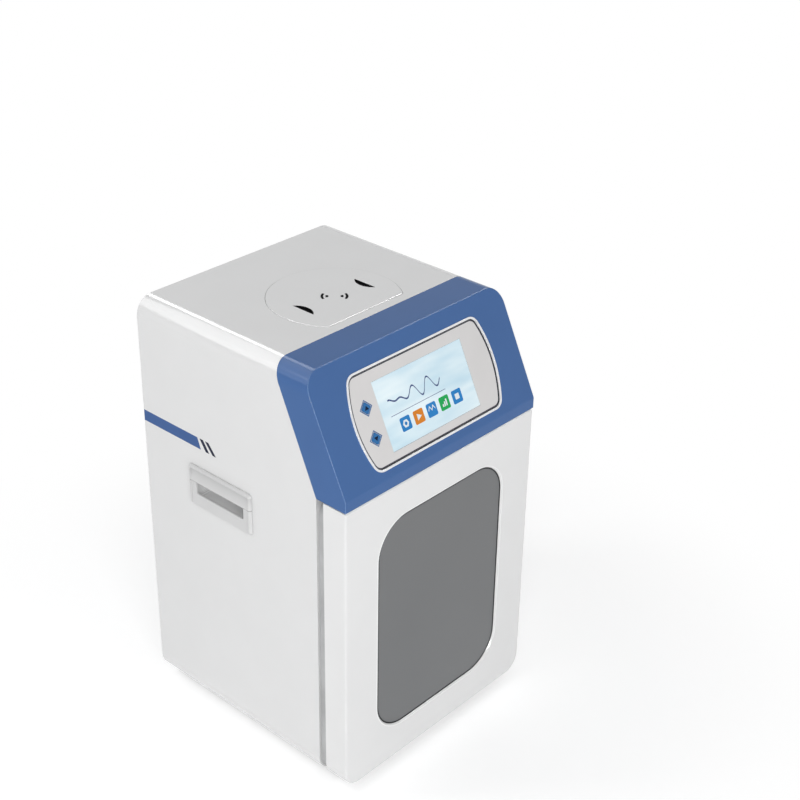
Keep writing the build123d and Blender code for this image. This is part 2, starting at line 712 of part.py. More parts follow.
def make_handle(side):
    """One side handle: a raised plate, scooped down to a lip over its finger slot, and a cup."""
    wall = CABINET_WIDTH / 2
    face = wall + HANDLE_PROUD
    outline = Pos(HANDLE_Y, HANDLE_Z) * RectangleRounded(HANDLE_LENGTH, HANDLE_HEIGHT, HANDLE_CORNER)
    plate = along_x(outline, wall, face)
    plate = chamfer(plate.faces().sort_by(Axis.X)[-1].edges(), HANDLE_BEVEL)
    rim_z = HANDLE_Z + HANDLE_HEIGHT / 2 - HANDLE_RIM
    low = HANDLE_Z - HANDLE_HEIGHT
    field = Polygon(
        (face - SCOOP_DEPTH, rim_z),
        (face, LIP_EDGE_Z),
        (face - LIP_STEP, LIP_EDGE_Z),
        (face - LIP_STEP, low),
        (face + 1, low),
        (face + 1, rim_z),
        align=None,
    )
    reach = HANDLE_LENGTH / 2 - HANDLE_RIM
    plate -= along_y(field, HANDLE_Y - reach, HANDLE_Y + reach)
    cup = along_x(cup_outline(CUP_WALL), wall - CUP_DEPTH - CUP_WALL, wall)
    cup -= along_x(cup_outline(0), wall - CUP_DEPTH, wall)
    mouth = Pos(HANDLE_Y, MOUTH_Z) * RectangleRounded(MOUTH_LENGTH, MOUTH_HEIGHT, MOUTH_CORNER)
    handle = plate + cup - along_x(mouth, wall - 1, wall + HANDLE_PROUD + 1)
    return handle if side > 0 else mirror(handle, Plane.YZ)


def make_sound_foam():
    """Five foam panels round the chamber: left, right, rear, floor and ceiling."""
    gap = SOFT_CLEARANCE
    wall = CABINET_WIDTH / 2 - SHELL_WALL
    front = FRAME_REAR + gap
    back = LINER_REAR - gap
    right = box(LINER_OUTER + gap, wall - gap, front, back, FOAM_FOOT, DECK_Z - gap)
    pocket_floor = CABINET_WIDTH / 2 - CUP_DEPTH - CUP_WALL - gap
    right -= along_x(cup_outline(CUP_WALL + gap), pocket_floor, CABINET_WIDTH / 2)
    left = mirror(right, Plane.YZ)
    band = offset(cabinet_band(BASE_TOP, DECK_Z), -gap, kind=Kind.INTERSECTION)
    rear = along_y(band, LINER_REAR + gap, FOAM_REAR - gap)
    side = LINER_OUTER - gap
    floor = box(-side, side, front, back, BASE_TOP + gap, FLOOR_Z - gap)
    ceiling = box(-side, side, front, back, CEILING_Z + gap, DECK_Z - gap)
    ceiling -= rod(HORN_HOLE_RADIUS, 0, PROBE_Y, CEILING_Z, DECK_Z)
    ceiling -= rod(COUPLING_HOLE_RADIUS, 0, LIFT_Y, CEILING_Z, DECK_Z)
    sensor_y = PROBE_Y - SENSOR_AHEAD
    ceiling -= rod(SENSOR_HOLDER_RADIUS + gap, SENSOR_X, sensor_y, CEILING_Z, DECK_Z)
    lamp_front = FRAME_REAR + LAMP_SETBACK - gap
    lamp_rear = FRAME_REAR + LAMP_SETBACK + LAMP_WIDTH + gap
    half = LAMP_LENGTH / 2 + gap
    ceiling -= box(-half, half, lamp_front, lamp_rear, CEILING_Z, DECK_Z)
    return Compound(children=[left, right, rear, floor, ceiling])


def make_liner_sheets():
    """The three perforated sheets that face the foam inside the chamber."""
    rear_edge = CHAMBER_REAR - LINER_GAP
    right = box(CHAMBER_HALF_WIDTH, LINER_OUTER, FRAME_REAR, rear_edge, FLOOR_TOP, CEILING_Z)
    left = mirror(right, Plane.YZ)
    rear = box(-LINER_OUTER, LINER_OUTER, CHAMBER_REAR, LINER_REAR, FLOOR_TOP, CEILING_Z)
    return Compound(children=[left, right, rear])


def make_chamber_floor():
    """The stainless floor of the chamber."""
    return box(-LINER_OUTER, LINER_OUTER, FRAME_REAR, LINER_REAR, FLOOR_Z, FLOOR_TOP)


def make_door_shell():
    """The door's white moulding: a shallow tray with a tunnel round the window."""
    shell = along_y(door_outline(0), 0, DOOR_THICKNESS)
    front = shell.faces().sort_by(Axis.Y)[0]
    shell = fillet(front.edges(), DOOR_EDGE_RADIUS)
    rear = shell.faces().sort_by(Axis.Y)[-1]
    shell = fillet(rear.edges(), DOOR_REAR_RADIUS)
    inside = door_outline(DOOR_WALL) - window_outline(DOOR_WALL)
    shell -= along_y(inside, DOOR_WALL, DOOR_THICKNESS - PLATE_THICKNESS)
    shell -= along_y(door_outline(DOOR_WALL), DOOR_THICKNESS - PLATE_THICKNESS, DOOR_THICKNESS + 1)
    shell -= along_y(window_outline(0), -1, DOOR_THICKNESS + 1)
    window_edges = shell.edges().filter_by(
        lambda edge: abs(edge.center().Y) < 0.01 and abs(edge.center().X) < WINDOW_HALF_WIDTH + 0.01
        and WINDOW_LOW - 0.01 < edge.center().Z < WINDOW_TOP + 0.01
    )
    return chamfer(window_edges, WINDOW_BEVEL)


def make_door_core():
    """The foam that fills the door round the window."""
    gap = SOFT_CLEARANCE
    inside = door_outline(DOOR_WALL + gap) - window_outline(DOOR_WALL + gap)
    return along_y(inside, DOOR_WALL, DOOR_THICKNESS - PLATE_THICKNESS)


def make_door_back_panel():
    """The sheet that closes the door's rear."""
    face = door_outline(DOOR_WALL) - window_outline(0)
    return along_y(face, DOOR_THICKNESS - PLATE_THICKNESS, DOOR_THICKNESS)


def make_window_pane():
    """The tinted pane."""
    return along_y(window_outline(-GASKET_WIDTH), PANE_RECESS, PANE_RECESS + PANE_THICKNESS)


def make_window_gasket():
    """The rubber ring that holds the pane's edge, with a lip behind it."""
    back = PANE_RECESS + PANE_THICKNESS
    edge = window_outline(0) - window_outline(-GASKET_WIDTH)
    lip = window_outline(0) - window_outline(-GASKET_LIP)
    ring = along_y(edge, PANE_RECESS, back)
    return ring + along_y(lip, back, back + GASKET_LIP_THICKNESS)


def make_door_seal():
    """The seal on the door's rear, which meets the frame round the chamber's mouth."""
    left = SEAL_INSET - CABINET_WIDTH / 2
    right = HINGE_X - KNUCKLE_RADIUS - LEAF_SETBACK - LEAF_WIDTH - LEAF_SEAL_GAP
    low = SEAL_INSET
    high = DOOR_HEIGHT - SEAL_INSET
    outer = rectangle(left, right, low, high, SEAL_CORNER)
    inner = rectangle(
        left + SEAL_WIDTH, right - SEAL_WIDTH, low + SEAL_WIDTH, high - SEAL_WIDTH,
        SEAL_CORNER - SEAL_WIDTH,
    )
    return along_y(outer - inner, DOOR_THICKNESS, BODY_Y - SOFT_CLEARANCE)


def make_strike_plate():
    """The steel strip on the door that the magnet holds."""
    x0 = SEAL_INSET + SEAL_WIDTH + LEAF_SEAL_GAP - CABINET_WIDTH / 2
    z0 = CATCH_Z - CATCH_HEIGHT / 2
    y1 = DOOR_THICKNESS + STRIKE_THICKNESS
    return box(x0, x0 + CATCH_WIDTH, DOOR_THICKNESS, y1, z0, z0 + CATCH_HEIGHT)


def make_catch_magnet():
    """The magnet strip on the cabinet's frame."""
    x0 = SEAL_INSET + SEAL_WIDTH + LEAF_SEAL_GAP - CABINET_WIDTH / 2
    z0 = CATCH_Z - CATCH_HEIGHT / 2
    y0 = DOOR_THICKNESS + STRIKE_THICKNESS + CATCH_GAP
    return box(x0, x0 + CATCH_WIDTH, y0, BODY_Y, z0, z0 + CATCH_HEIGHT)


def make_hinge_cabinet_leaves():
    """The leaves on the frame, each with a knuckle at both ends."""
    leaves = []
    for middle in HINGE_HEIGHTS:
        low = middle - LEAF_HEIGHT / 2
        high = middle + LEAF_HEIGHT / 2
        edge = HINGE_X - KNUCKLE_RADIUS - LEAF_SETBACK
        leaf = box(edge - LEAF_WIDTH, edge, BODY_Y - LEAF_THICKNESS, BODY_Y, low, high)
        for z0 in (low, high - KNUCKLE_LENGTH):
            z1 = z0 + KNUCKLE_LENGTH
            leaf += rod(KNUCKLE_RADIUS, HINGE_X, HINGE_Y, z0, z1)
            leaf += box(edge - 1, HINGE_X, BODY_Y - LEAF_THICKNESS, BODY_Y, z0, z1)
        leaf -= rod(HINGE_PIN_RADIUS, HINGE_X, HINGE_Y, low - 1, high + 1)
        leaves.append(leaf)
    return Compound(children=leaves)


def make_hinge_door_leaves():
    """The leaves on the door, each with one knuckle between the cabinet's two."""
    leaves = []
    for middle in HINGE_HEIGHTS:
        low = middle - LEAF_HEIGHT / 2
        high = middle + LEAF_HEIGHT / 2
        edge = HINGE_X - KNUCKLE_RADIUS - LEAF_SETBACK
        y1 = DOOR_THICKNESS + LEAF_THICKNESS
        leaf = box(edge - LEAF_WIDTH, edge, DOOR_THICKNESS, y1, low, high)
        z0 = low + KNUCKLE_LENGTH + KNUCKLE_GAP
        z1 = high - KNUCKLE_LENGTH - KNUCKLE_GAP
        leaf += rod(KNUCKLE_RADIUS, HINGE_X, HINGE_Y, z0, z1)
        leaf += box(edge - 1, HINGE_X, DOOR_THICKNESS, y1, z0, z1)
        leaf -= rod(HINGE_PIN_RADIUS + PIN_CLEARANCE, HINGE_X, HINGE_Y, z0 - 1, z1 + 1)
        leaves.append(leaf)
    return Compound(children=leaves)


def make_hinge_pins():
    """The two hinge pins."""
    pins = []
    for middle in HINGE_HEIGHTS:
        low = middle - LEAF_HEIGHT / 2
        pins.append(rod(HINGE_PIN_RADIUS, HINGE_X, HINGE_Y, low, low + LEAF_HEIGHT))
    return Compound(children=pins)


def make_top_lid():
    """The access lid, with two D-shaped finger slots and small vents round its middle."""
    face = offset(lid_outline(), -LID_CLEARANCE)
    lid = along_z(face, SEAT_Z, SEAT_Z + LID_THICKNESS)
    lid = chamfer(lid.faces().sort_by(Axis.Z)[-1].edges(), LID_BEVEL)
    bow = (GRIP_LENGTH**2 / 4 + GRIP_BULGE**2) / (2 * GRIP_BULGE)
    centre_x = GRIP_CHORD_X - GRIP_BULGE + bow
    for side in (-1, 1):
        disc = Pos(side * centre_x, PROBE_Y) * Circle(bow)
        chord = Pos(side * (GRIP_CHORD_X - bow), PROBE_Y) * Rectangle(2 * bow, 2 * bow)
        lid -= along_z(disc & chord, SEAT_Z - 1, SEAT_Z + LID_THICKNESS + 1)
    for turn in (135, 315):
        arc = CenterArc((0, 0), VENT_RADIUS, turn - VENT_SPAN / 2, VENT_SPAN)
        vent = Pos(0, PROBE_Y) * SlotArc(arc, VENT_WIDTH)
        dot_x = DOT_OFFSET * cos(radians(turn))
        dot_y = DOT_OFFSET * sin(radians(turn))
        dot = Pos(dot_x, PROBE_Y + dot_y) * Circle(DOT_RADIUS)
        lid -= along_z(vent, SEAT_Z - 1, SEAT_Z + LID_THICKNESS + 1)
        lid -= along_z(dot, SEAT_Z - 1, SEAT_Z + LID_THICKNESS + 1)
    return lid


def make_transducer_housing():
    """The cover over the transducer, flanged to the deck."""
    top = DECK_TOP + HOUSING_HEIGHT
    outer = rod(HOUSING_RADIUS, 0, PROBE_Y, DECK_TOP, top)
    outer = fillet(outer.edges().sort_by(Axis.Z)[-1:], HOUSING_EDGE)
    flange_radius = HOUSING_RADIUS + HOUSING_FLANGE
    outer += rod(flange_radius, 0, PROBE_Y, DECK_TOP, DECK_TOP + HOUSING_FLANGE_THICKNESS)
    inner_radius = HOUSING_RADIUS - HOUSING_WALL
    outer -= rod(inner_radius, 0, PROBE_Y, DECK_TOP - 1, top - HOUSING_WALL)
    return outer - rod(HOUSING_CABLE_RADIUS, 0, PROBE_Y, top - HOUSING_WALL - 1, top + 1)


def make_front_mass():
    """The transducer's front mass; its flange rests on the deck."""
    top = DECK_TOP + FRONT_MASS_ABOVE
    mass = rod(STACK_RADIUS, 0, PROBE_Y, HORN_TOP, top)
    return mass + rod(FLANGE_RADIUS, 0, PROBE_Y, DECK_TOP, DECK_TOP + FLANGE_THICKNESS)


def make_piezo_discs():
    """The piezo rings, with room for an electrode foil between neighbours."""
    discs = []
    z0 = DECK_TOP + FRONT_MASS_ABOVE
    for _ in range(DISC_COUNT):
        disc = rod(STACK_RADIUS, 0, PROBE_Y, z0, z0 + DISC_THICKNESS)
        discs.append(disc - rod(DISC_BORE, 0, PROBE_Y, z0 - 1, z0 + DISC_THICKNESS + 1))
        z0 += DISC_THICKNESS + ELECTRODE_GAP
    return Compound(children=discs)


def make_back_mass():
    """The steel back mass, with the head of the bolt that clamps the stack."""
    stack = DISC_COUNT * (DISC_THICKNESS + ELECTRODE_GAP)
    z0 = DECK_TOP + FRONT_MASS_ABOVE + stack - ELECTRODE_GAP
    z1 = z0 + BACK_MASS_LENGTH
    mass = rod(STACK_RADIUS, 0, PROBE_Y, z0, z1)
    return mass + rod(STACK_BOLT_RADIUS, 0, PROBE_Y, z1, z1 + STACK_BOLT_HEAD)


def make_horn():
    """The horn that narrows from the front mass to the probe in one sweeping curve."""
    shoulder = HORN_TOP - HORN_STRAIGHT
    neck = shoulder - HORN_FLARE
    middle_radius = HORN_TIP_RADIUS + (STACK_RADIUS - HORN_TIP_RADIUS) * 0.27
    outline = [
        Line((0, HORN_TOP), (STACK_RADIUS, HORN_TOP)),
        Line((STACK_RADIUS, HORN_TOP), (STACK_RADIUS, shoulder)),
        ThreePointArc(
            (STACK_RADIUS, shoulder),
            (middle_radius, shoulder - HORN_FLARE * 0.55),
            (HORN_TIP_RADIUS, neck),
        ),
        Line((HORN_TIP_RADIUS, neck), (HORN_TIP_RADIUS, PROBE_TOP)),
        Line((HORN_TIP_RADIUS, PROBE_TOP), (0, PROBE_TOP)),
        Line((0, PROBE_TOP), (0, HORN_TOP)),
    ]
    return Pos(0, PROBE_Y, 0) * revolve(Plane.XZ * make_face(outline), Axis.Z)


def make_titanium_probe():
    """The replaceable probe: a shank that tapers to the tip."""
    shank = PROBE_TOP - PROBE_SHANK
    points = [
        (0, PROBE_TOP),
        (PROBE_SHANK_RADIUS, PROBE_TOP),
        (PROBE_SHANK_RADIUS, shank),
        (PROBE_TIP_RADIUS, shank - PROBE_TAPER),
        (PROBE_TIP_RADIUS, TIP_Z),
        (0, TIP_Z),
    ]
    profile = make_face(Polyline(*points, close=True))
    return Pos(0, PROBE_Y, 0) * revolve(Plane.XZ * profile, Axis.Z)


def make_stage_platform():
    """The round platform for the beaker, with a shallow rim."""
    rim_top = PLATFORM_TOP + PLATFORM_RIM
    disc = rod(PLATFORM_RADIUS, 0, PROBE_Y, PLATFORM_Z, rim_top)
    return disc - rod(PLATFORM_RADIUS - PLATFORM_RIM_WIDTH, 0, PROBE_Y, PLATFORM_TOP, rim_top + 1)


def make_stage_carriage():
    """The carriage on the guide rods, with the arm under the platform."""
    half = CARRIAGE_HALF_WIDTH
    top = CARRIAGE_Z + CARRIAGE_HEIGHT
    rear = LIFT_FRONT + CARRIAGE_DEPTH
    block = along_z(rectangle(-half, half, LIFT_FRONT, rear, CARRIAGE_CORNER), CARRIAGE_Z, top)
    arm_front = LIFT_FRONT - ARM_REACH
    arm = box(-ARM_HALF_WIDTH, ARM_HALF_WIDTH, arm_front, LIFT_FRONT + 1, CARRIAGE_Z, PLATFORM_Z)
    carriage = block + arm
    for side in (-1, 1):
        carriage -= rod(
            ROD_RADIUS + RUNNING_CLEARANCE, side * ROD_OFFSET, LIFT_Y, CARRIAGE_Z - 1, top + 1
        )
    return carriage - rod(NUT_RADIUS, 0, LIFT_Y, CARRIAGE_Z - 1, top + 1)


def make_lift_nut():
    """The brass nut in the carriage, driven by the screw."""
    top = CARRIAGE_Z + CARRIAGE_HEIGHT
    nut = rod(NUT_RADIUS, 0, LIFT_Y, CARRIAGE_Z, top)
    nut += rod(NUT_FLANGE_RADIUS, 0, LIFT_Y, top, top + NUT_FLANGE_THICKNESS)
    bore = SCREW_RADIUS + RUNNING_CLEARANCE
    return nut - rod(bore, 0, LIFT_Y, CARRIAGE_Z - 1, top + NUT_FLANGE_THICKNESS + 1)


def make_lead_screw():
    """The upright screw that lifts the stage."""
    return rod(SCREW_RADIUS, 0, LIFT_Y, SCREW_LOW, COUPLING_MIDDLE - COUPLING_SPLIT / 2)


def make_guide_rods():
    """The two polished rods beside the screw."""
    top = TOP_BLOCK_Z + BLOCK_HEIGHT
    rods = [rod(ROD_RADIUS, x, LIFT_Y, FLOOR_TOP, top) for x in (-ROD_OFFSET, ROD_OFFSET)]
    return Compound(children=rods)


def make_lift_end_blocks():
    """The blocks that hold the rods and the screw at both ends."""
    blocks = []
    for z0 in (FLOOR_TOP, TOP_BLOCK_Z):
        z1 = z0 + BLOCK_HEIGHT
        block = box(-BLOCK_HALF_WIDTH, BLOCK_HALF_WIDTH, LIFT_FRONT, CHAMBER_REAR, z0, z1)
        for side in (-1, 1):
            block -= rod(ROD_RADIUS, side * ROD_OFFSET, LIFT_Y, z0 - 1, z1 + 1)
        low = z0 + BEARING_FLOOR if z0 == FLOOR_TOP else z0 - 1
        block -= rod(SCREW_RADIUS + RUNNING_CLEARANCE, 0, LIFT_Y, low, z1 + 1)
        blocks.append(block)
    return Compound(children=blocks)


def make_shaft_coupling():
    """The coupling between the screw and the motor's shaft, and that shaft."""
    coupling = rod(COUPLING_RADIUS, 0, LIFT_Y, COUPLING_LOW, COUPLING_TOP)
    coupling -= rod(SCREW_RADIUS, 0, LIFT_Y, COUPLING_LOW - 1, COUPLING_MIDDLE)
    coupling -= rod(MOTOR_SHAFT_RADIUS, 0, LIFT_Y, COUPLING_MIDDLE - 1, COUPLING_TOP + 1)
    shaft_low = COUPLING_MIDDLE + COUPLING_SPLIT / 2
    shaft = rod(MOTOR_SHAFT_RADIUS, 0, LIFT_Y, shaft_low, DECK_TOP + MOTOR_SHAFT_INSIDE)
    return Compound(children=[coupling, shaft])


def make_lift_motor():
    """The square stepper motor on the deck."""
    half = MOTOR_SIDE / 2
    outline = rectangle(-half, half, LIFT_Y - half, LIFT_Y + half, MOTOR_CORNER)
    motor = along_z(outline, DECK_TOP, DECK_TOP + MOTOR_HEIGHT)
    motor += rod(MOTOR_PILOT_RADIUS, 0, LIFT_Y, DECK_Z, DECK_TOP)
    bore = MOTOR_SHAFT_RADIUS + RUNNING_CLEARANCE
    bore_top = DECK_TOP + MOTOR_SHAFT_INSIDE + SCREW_END_GAP
    return motor - rod(bore, 0, LIFT_Y, DECK_Z - 1, bore_top)


def make_temperature_probe():
    """The thin steel sensor beside the probe, in a holder under the deck."""
    y = PROBE_Y - SENSOR_AHEAD
    holder = rod(SENSOR_HOLDER_RADIUS, SENSOR_X, y, DECK_Z - SENSOR_HOLDER_DROP, DECK_Z)
    needle = rod(SENSOR_RADIUS, SENSOR_X, y, DECK_Z - SENSOR_LENGTH, DECK_Z)
    needle = fillet(needle.edges().sort_by(Axis.Z)[:1], SENSOR_RADIUS * 0.9)
    return holder + needle


def make_chamber_lamp():
    """The lamp bar let into the ceiling foam."""
    y0 = FRAME_REAR + LAMP_SETBACK
    half = LAMP_LENGTH / 2
    lamp = box(-half, half, y0, y0 + LAMP_WIDTH, CEILING_Z - LAMP_DROP, DECK_Z)
    low_edges = lamp.edges().filter_by(Axis.X).sort_by(Axis.Z)[:2]
    return fillet(low_edges, LAMP_ROUND)


def make_generator_board():
    """The generator's circuit board on posts above the deck."""
    z0 = DECK_TOP + GENERATOR_LIFT
    y0 = GENERATOR_Y - GENERATOR_LENGTH / 2
    y1 = GENERATOR_Y + GENERATOR_LENGTH / 2
    board = box(GENERATOR_LEFT, GENERATOR_RIGHT, y0, y1, z0, z0 + BOARD_THICKNESS)
    for x in (GENERATOR_LEFT + POST_INSET, GENERATOR_RIGHT - POST_INSET):
        for y in (y0 + POST_INSET, y1 - POST_INSET):
            board += rod(POST_RADIUS, x, y, DECK_TOP, z0)
    return board


def make_heat_sink():
    """The finned heat sink on the generator board."""
    z0 = DECK_TOP + GENERATOR_LIFT + BOARD_THICKNESS
    y0 = GENERATOR_Y - SINK_LENGTH / 2
    y1 = GENERATOR_Y + SINK_LENGTH / 2
    sink = box(SINK_LEFT, SINK_LEFT + SINK_WIDTH, y0, y1, z0, z0 + SINK_BASE)
    pitch = (SINK_WIDTH - FIN_THICKNESS) / (FIN_COUNT - 1)
    for fin in range(FIN_COUNT):
        x = SINK_LEFT + fin * pitch
        sink += box(x, x + FIN_THICKNESS, y0, y1, z0 + SINK_BASE, z0 + SINK_HEIGHT)
    return sink


def make_board_parts():
    """The output transformer and the capacitors on the generator board."""
    z0 = DECK_TOP + GENERATOR_LIFT + BOARD_THICKNESS
    y = GENERATOR_Y + GENERATOR_LENGTH / 2 - POST_INSET * 2 - CORE_LENGTH / 2
    core = Pos(CORE_X, y, z0 + CORE_HEIGHT / 2) * Box(CORE_WIDTH, CORE_LENGTH, CORE_HEIGHT)
    parts = [core]
    y -= CORE_LENGTH / 2 + CAPACITOR_RADIUS * 1.5
    for _ in range(CAPACITOR_COUNT):
        parts.append(rod(CAPACITOR_RADIUS, CORE_X, y, z0, z0 + CAPACITOR_HEIGHT))
        y -= CAPACITOR_PITCH
    return Compound(children=parts)


def make_power_supply():
    """The power supply on the rear of the divider."""
    half_w = SUPPLY_WIDTH / 2
    half_h = SUPPLY_HEIGHT / 2
    return box(
        SUPPLY_X - half_w, SUPPLY_X + half_w,
        DIVIDER_REAR, DIVIDER_REAR + SUPPLY_DEPTH,
        SUPPLY_Z - half_h, SUPPLY_Z + half_h,
    )


def make_fan_frame():
    """The square fan frame, with the hub plate, its arms and the shaft."""
    y1 = PANEL_FRONT_Y
    y0 = y1 - FAN_DEPTH
    outline = Pos(FAN_X, FAN_Z) * RectangleRounded(FAN_SIDE, FAN_SIDE, FAN_CORNER)
    frame = along_y(outline - Pos(FAN_X, FAN_Z) * Circle(FAN_DUCT_RADIUS), y0, y1)
    hub = deep_rod(FAN_HUB_RADIUS, FAN_X, y0, y0 + FAN_HUB_PLATE, FAN_Z)
    arm = Pos(FAN_X, FAN_Z) * Rectangle(2 * FAN_DUCT_RADIUS + 1, FAN_ARM_WIDTH)
    arm += Pos(FAN_X, FAN_Z) * Rectangle(FAN_ARM_WIDTH, 2 * FAN_DUCT_RADIUS + 1)
    frame += hub + along_y(arm, y0, y0 + FAN_HUB_PLATE)
    shaft_end = y0 + FAN_HUB_PLATE + FAN_SHAFT_LENGTH
    return frame + deep_rod(FAN_SHAFT_RADIUS, FAN_X, y0, shaft_end, FAN_Z)


def make_fan_rotor():
    """The hub and its pitched blades, running on the frame's shaft."""
    y0 = PANEL_FRONT_Y - FAN_DEPTH + FAN_HUB_PLATE + FAN_AXIAL_GAP
    y1 = y0 + FAN_HUB_DEPTH
    hub = deep_rod(FAN_HUB_RADIUS, FAN_X, y0, y1, FAN_Z)
    tip = FAN_DUCT_RADIUS - BLADE_TIP_GAP
    length = tip - FAN_HUB_RADIUS + BLADE_CHORD / 4
    middle = FAN_HUB_RADIUS - BLADE_CHORD / 4 + length / 2
    blade = Pos(middle, 0, 0) * Rot(BLADE_PITCH, 0, 0) * Box(length, BLADE_THICKNESS, BLADE_CHORD)
    centre = Pos(FAN_X, (y0 + y1) / 2, FAN_Z)
    sweep = Rot(90, 0, 0) * Cylinder(tip, FAN_HUB_DEPTH)
    rotor = hub
    for turn in range(BLADE_COUNT):
        turned = Rot(0, 360 / BLADE_COUNT * turn, 0) * blade
        rotor += centre * (turned & sweep)
    bore = FAN_SHAFT_RADIUS + RUNNING_CLEARANCE
    bore_end = y0 + FAN_SHAFT_LENGTH
    return rotor - deep_rod(bore, FAN_X, y0 - 1, bore_end, FAN_Z)


def make_fan_guard():
    """The wire guard on the rear panel: rings on two crossed wires."""
    wire_y = PANEL_REAR_Y + GUARD_WIRE_RADIUS
    ring_y = wire_y + 2 * GUARD_WIRE_RADIUS - GUARD_SINK
    reach = (FAN_SIDE - FAN_CORNER) * cos(radians(45)) * 2
    guard = None
    for turn in (45, 135):
        wire = Pos(FAN_X, wire_y, FAN_Z) * Rot(0, turn, 0) * Cylinder(GUARD_WIRE_RADIUS, reach)
        guard = wire if guard is None else guard + wire
    for ring in range(GUARD_RINGS):
        radius = GUARD_PITCH * (ring + 1)
        guard += Pos(FAN_X, ring_y, FAN_Z) * Rot(90, 0, 0) * Torus(radius, GUARD_WIRE_RADIUS)
    return guard


def make_power_inlet():
    """The three-pin mains inlet, flanged on the rear panel."""
    y0 = PANEL_REAR_Y - INLET_DEPTH
    y1 = PANEL_REAR_Y + PLATE_THICKNESS
    place = Pos(INLET_X, INLET_Z)
    inlet = along_y(place * Rectangle(INLET_WIDTH, INLET_HEIGHT), y0, PANEL_REAR_Y)
    flange = Rectangle(INLET_WIDTH + 2 * INLET_FLANGE, INLET_HEIGHT + INLET_FLANGE)
    inlet += along_y(place * flange, PANEL_REAR_Y, y1)
    socket = RectangleRounded(INLET_SOCKET_WIDTH, INLET_SOCKET_HEIGHT, INLET_SOCKET_CORNER)
    floor = y1 - INLET_SOCKET_DEPTH
    inlet -= along_y(place * socket, floor, y1 + 1)
    pins = ((-INLET_PIN_SPACING, -INLET_PIN_RISE), (0, INLET_PIN_RISE), (INLET_PIN_SPACING, -INLET_PIN_RISE))
    for x, z in pins:
        pin = Pos(INLET_X + x, INLET_Z + z) * Rectangle(INLET_PIN_WIDTH, INLET_PIN_HEIGHT)
        inlet += along_y(pin, floor - 1, floor + INLET_PIN_LENGTH)
    return inlet


def make_switch_body():
    """The power switch's housing in the rear panel."""
    y0 = PANEL_REAR_Y - SWITCH_DEPTH
    y1 = PANEL_REAR_Y + SWITCH_FLANGE
    place = Pos(SWITCH_X, INLET_Z)
    body = along_y(place * Rectangle(SWITCH_WIDTH, SWITCH_HEIGHT), y0, PANEL_REAR_Y)
    flange = Rectangle(SWITCH_WIDTH + 2 * SWITCH_FLANGE, SWITCH_HEIGHT + 2 * SWITCH_FLANGE)
    body += along_y(place * flange, PANEL_REAR_Y, y1)
    cavity = Rectangle(SWITCH_CAVITY_WIDTH, SWITCH_CAVITY_HEIGHT)
    body -= along_y(place * cavity, y1 - SWITCH_CAVITY_DEPTH, y1 + 1)
    half = SWITCH_CAVITY_WIDTH / 2 + ROCKER_PIN_LENGTH
    pivot_y = PANEL_REAR_Y - ROCKER_SINK
    bore = ROCKER_PIN_RADIUS + RUNNING_CLEARANCE
    return body - cross_rod(bore, SWITCH_X - half, SWITCH_X + half, pivot_y, INLET_Z)


def make_power_rocker():
    """The rocker, tilted to its off side, on two short pins."""
    half = SWITCH_CAVITY_WIDTH / 2 - ROCKER_SIDE_GAP
    profile = Polygon(
        (ROCKER_FACE, -ROCKER_HALF_HEIGHT),
        (ROCKER_FACE - ROCKER_DISH, 0),
        (ROCKER_FACE, ROCKER_HALF_HEIGHT),
        (-ROCKER_DISH, ROCKER_HALF_HEIGHT - ROCKER_DISH),
        (-ROCKER_BACK, 0),
        (-ROCKER_DISH, ROCKER_DISH - ROCKER_HALF_HEIGHT),
        align=None,
    )
    pin_half = half + ROCKER_PIN_LENGTH
    rocker = along_x(profile, -half, half) + cross_rod(ROCKER_PIN_RADIUS, -pin_half, pin_half, 0, 0)
    pivot_y = PANEL_REAR_Y - ROCKER_SINK
    return Pos(SWITCH_X, pivot_y, INLET_Z) * Rot(-ROCKER_TILT, 0, 0) * rocker


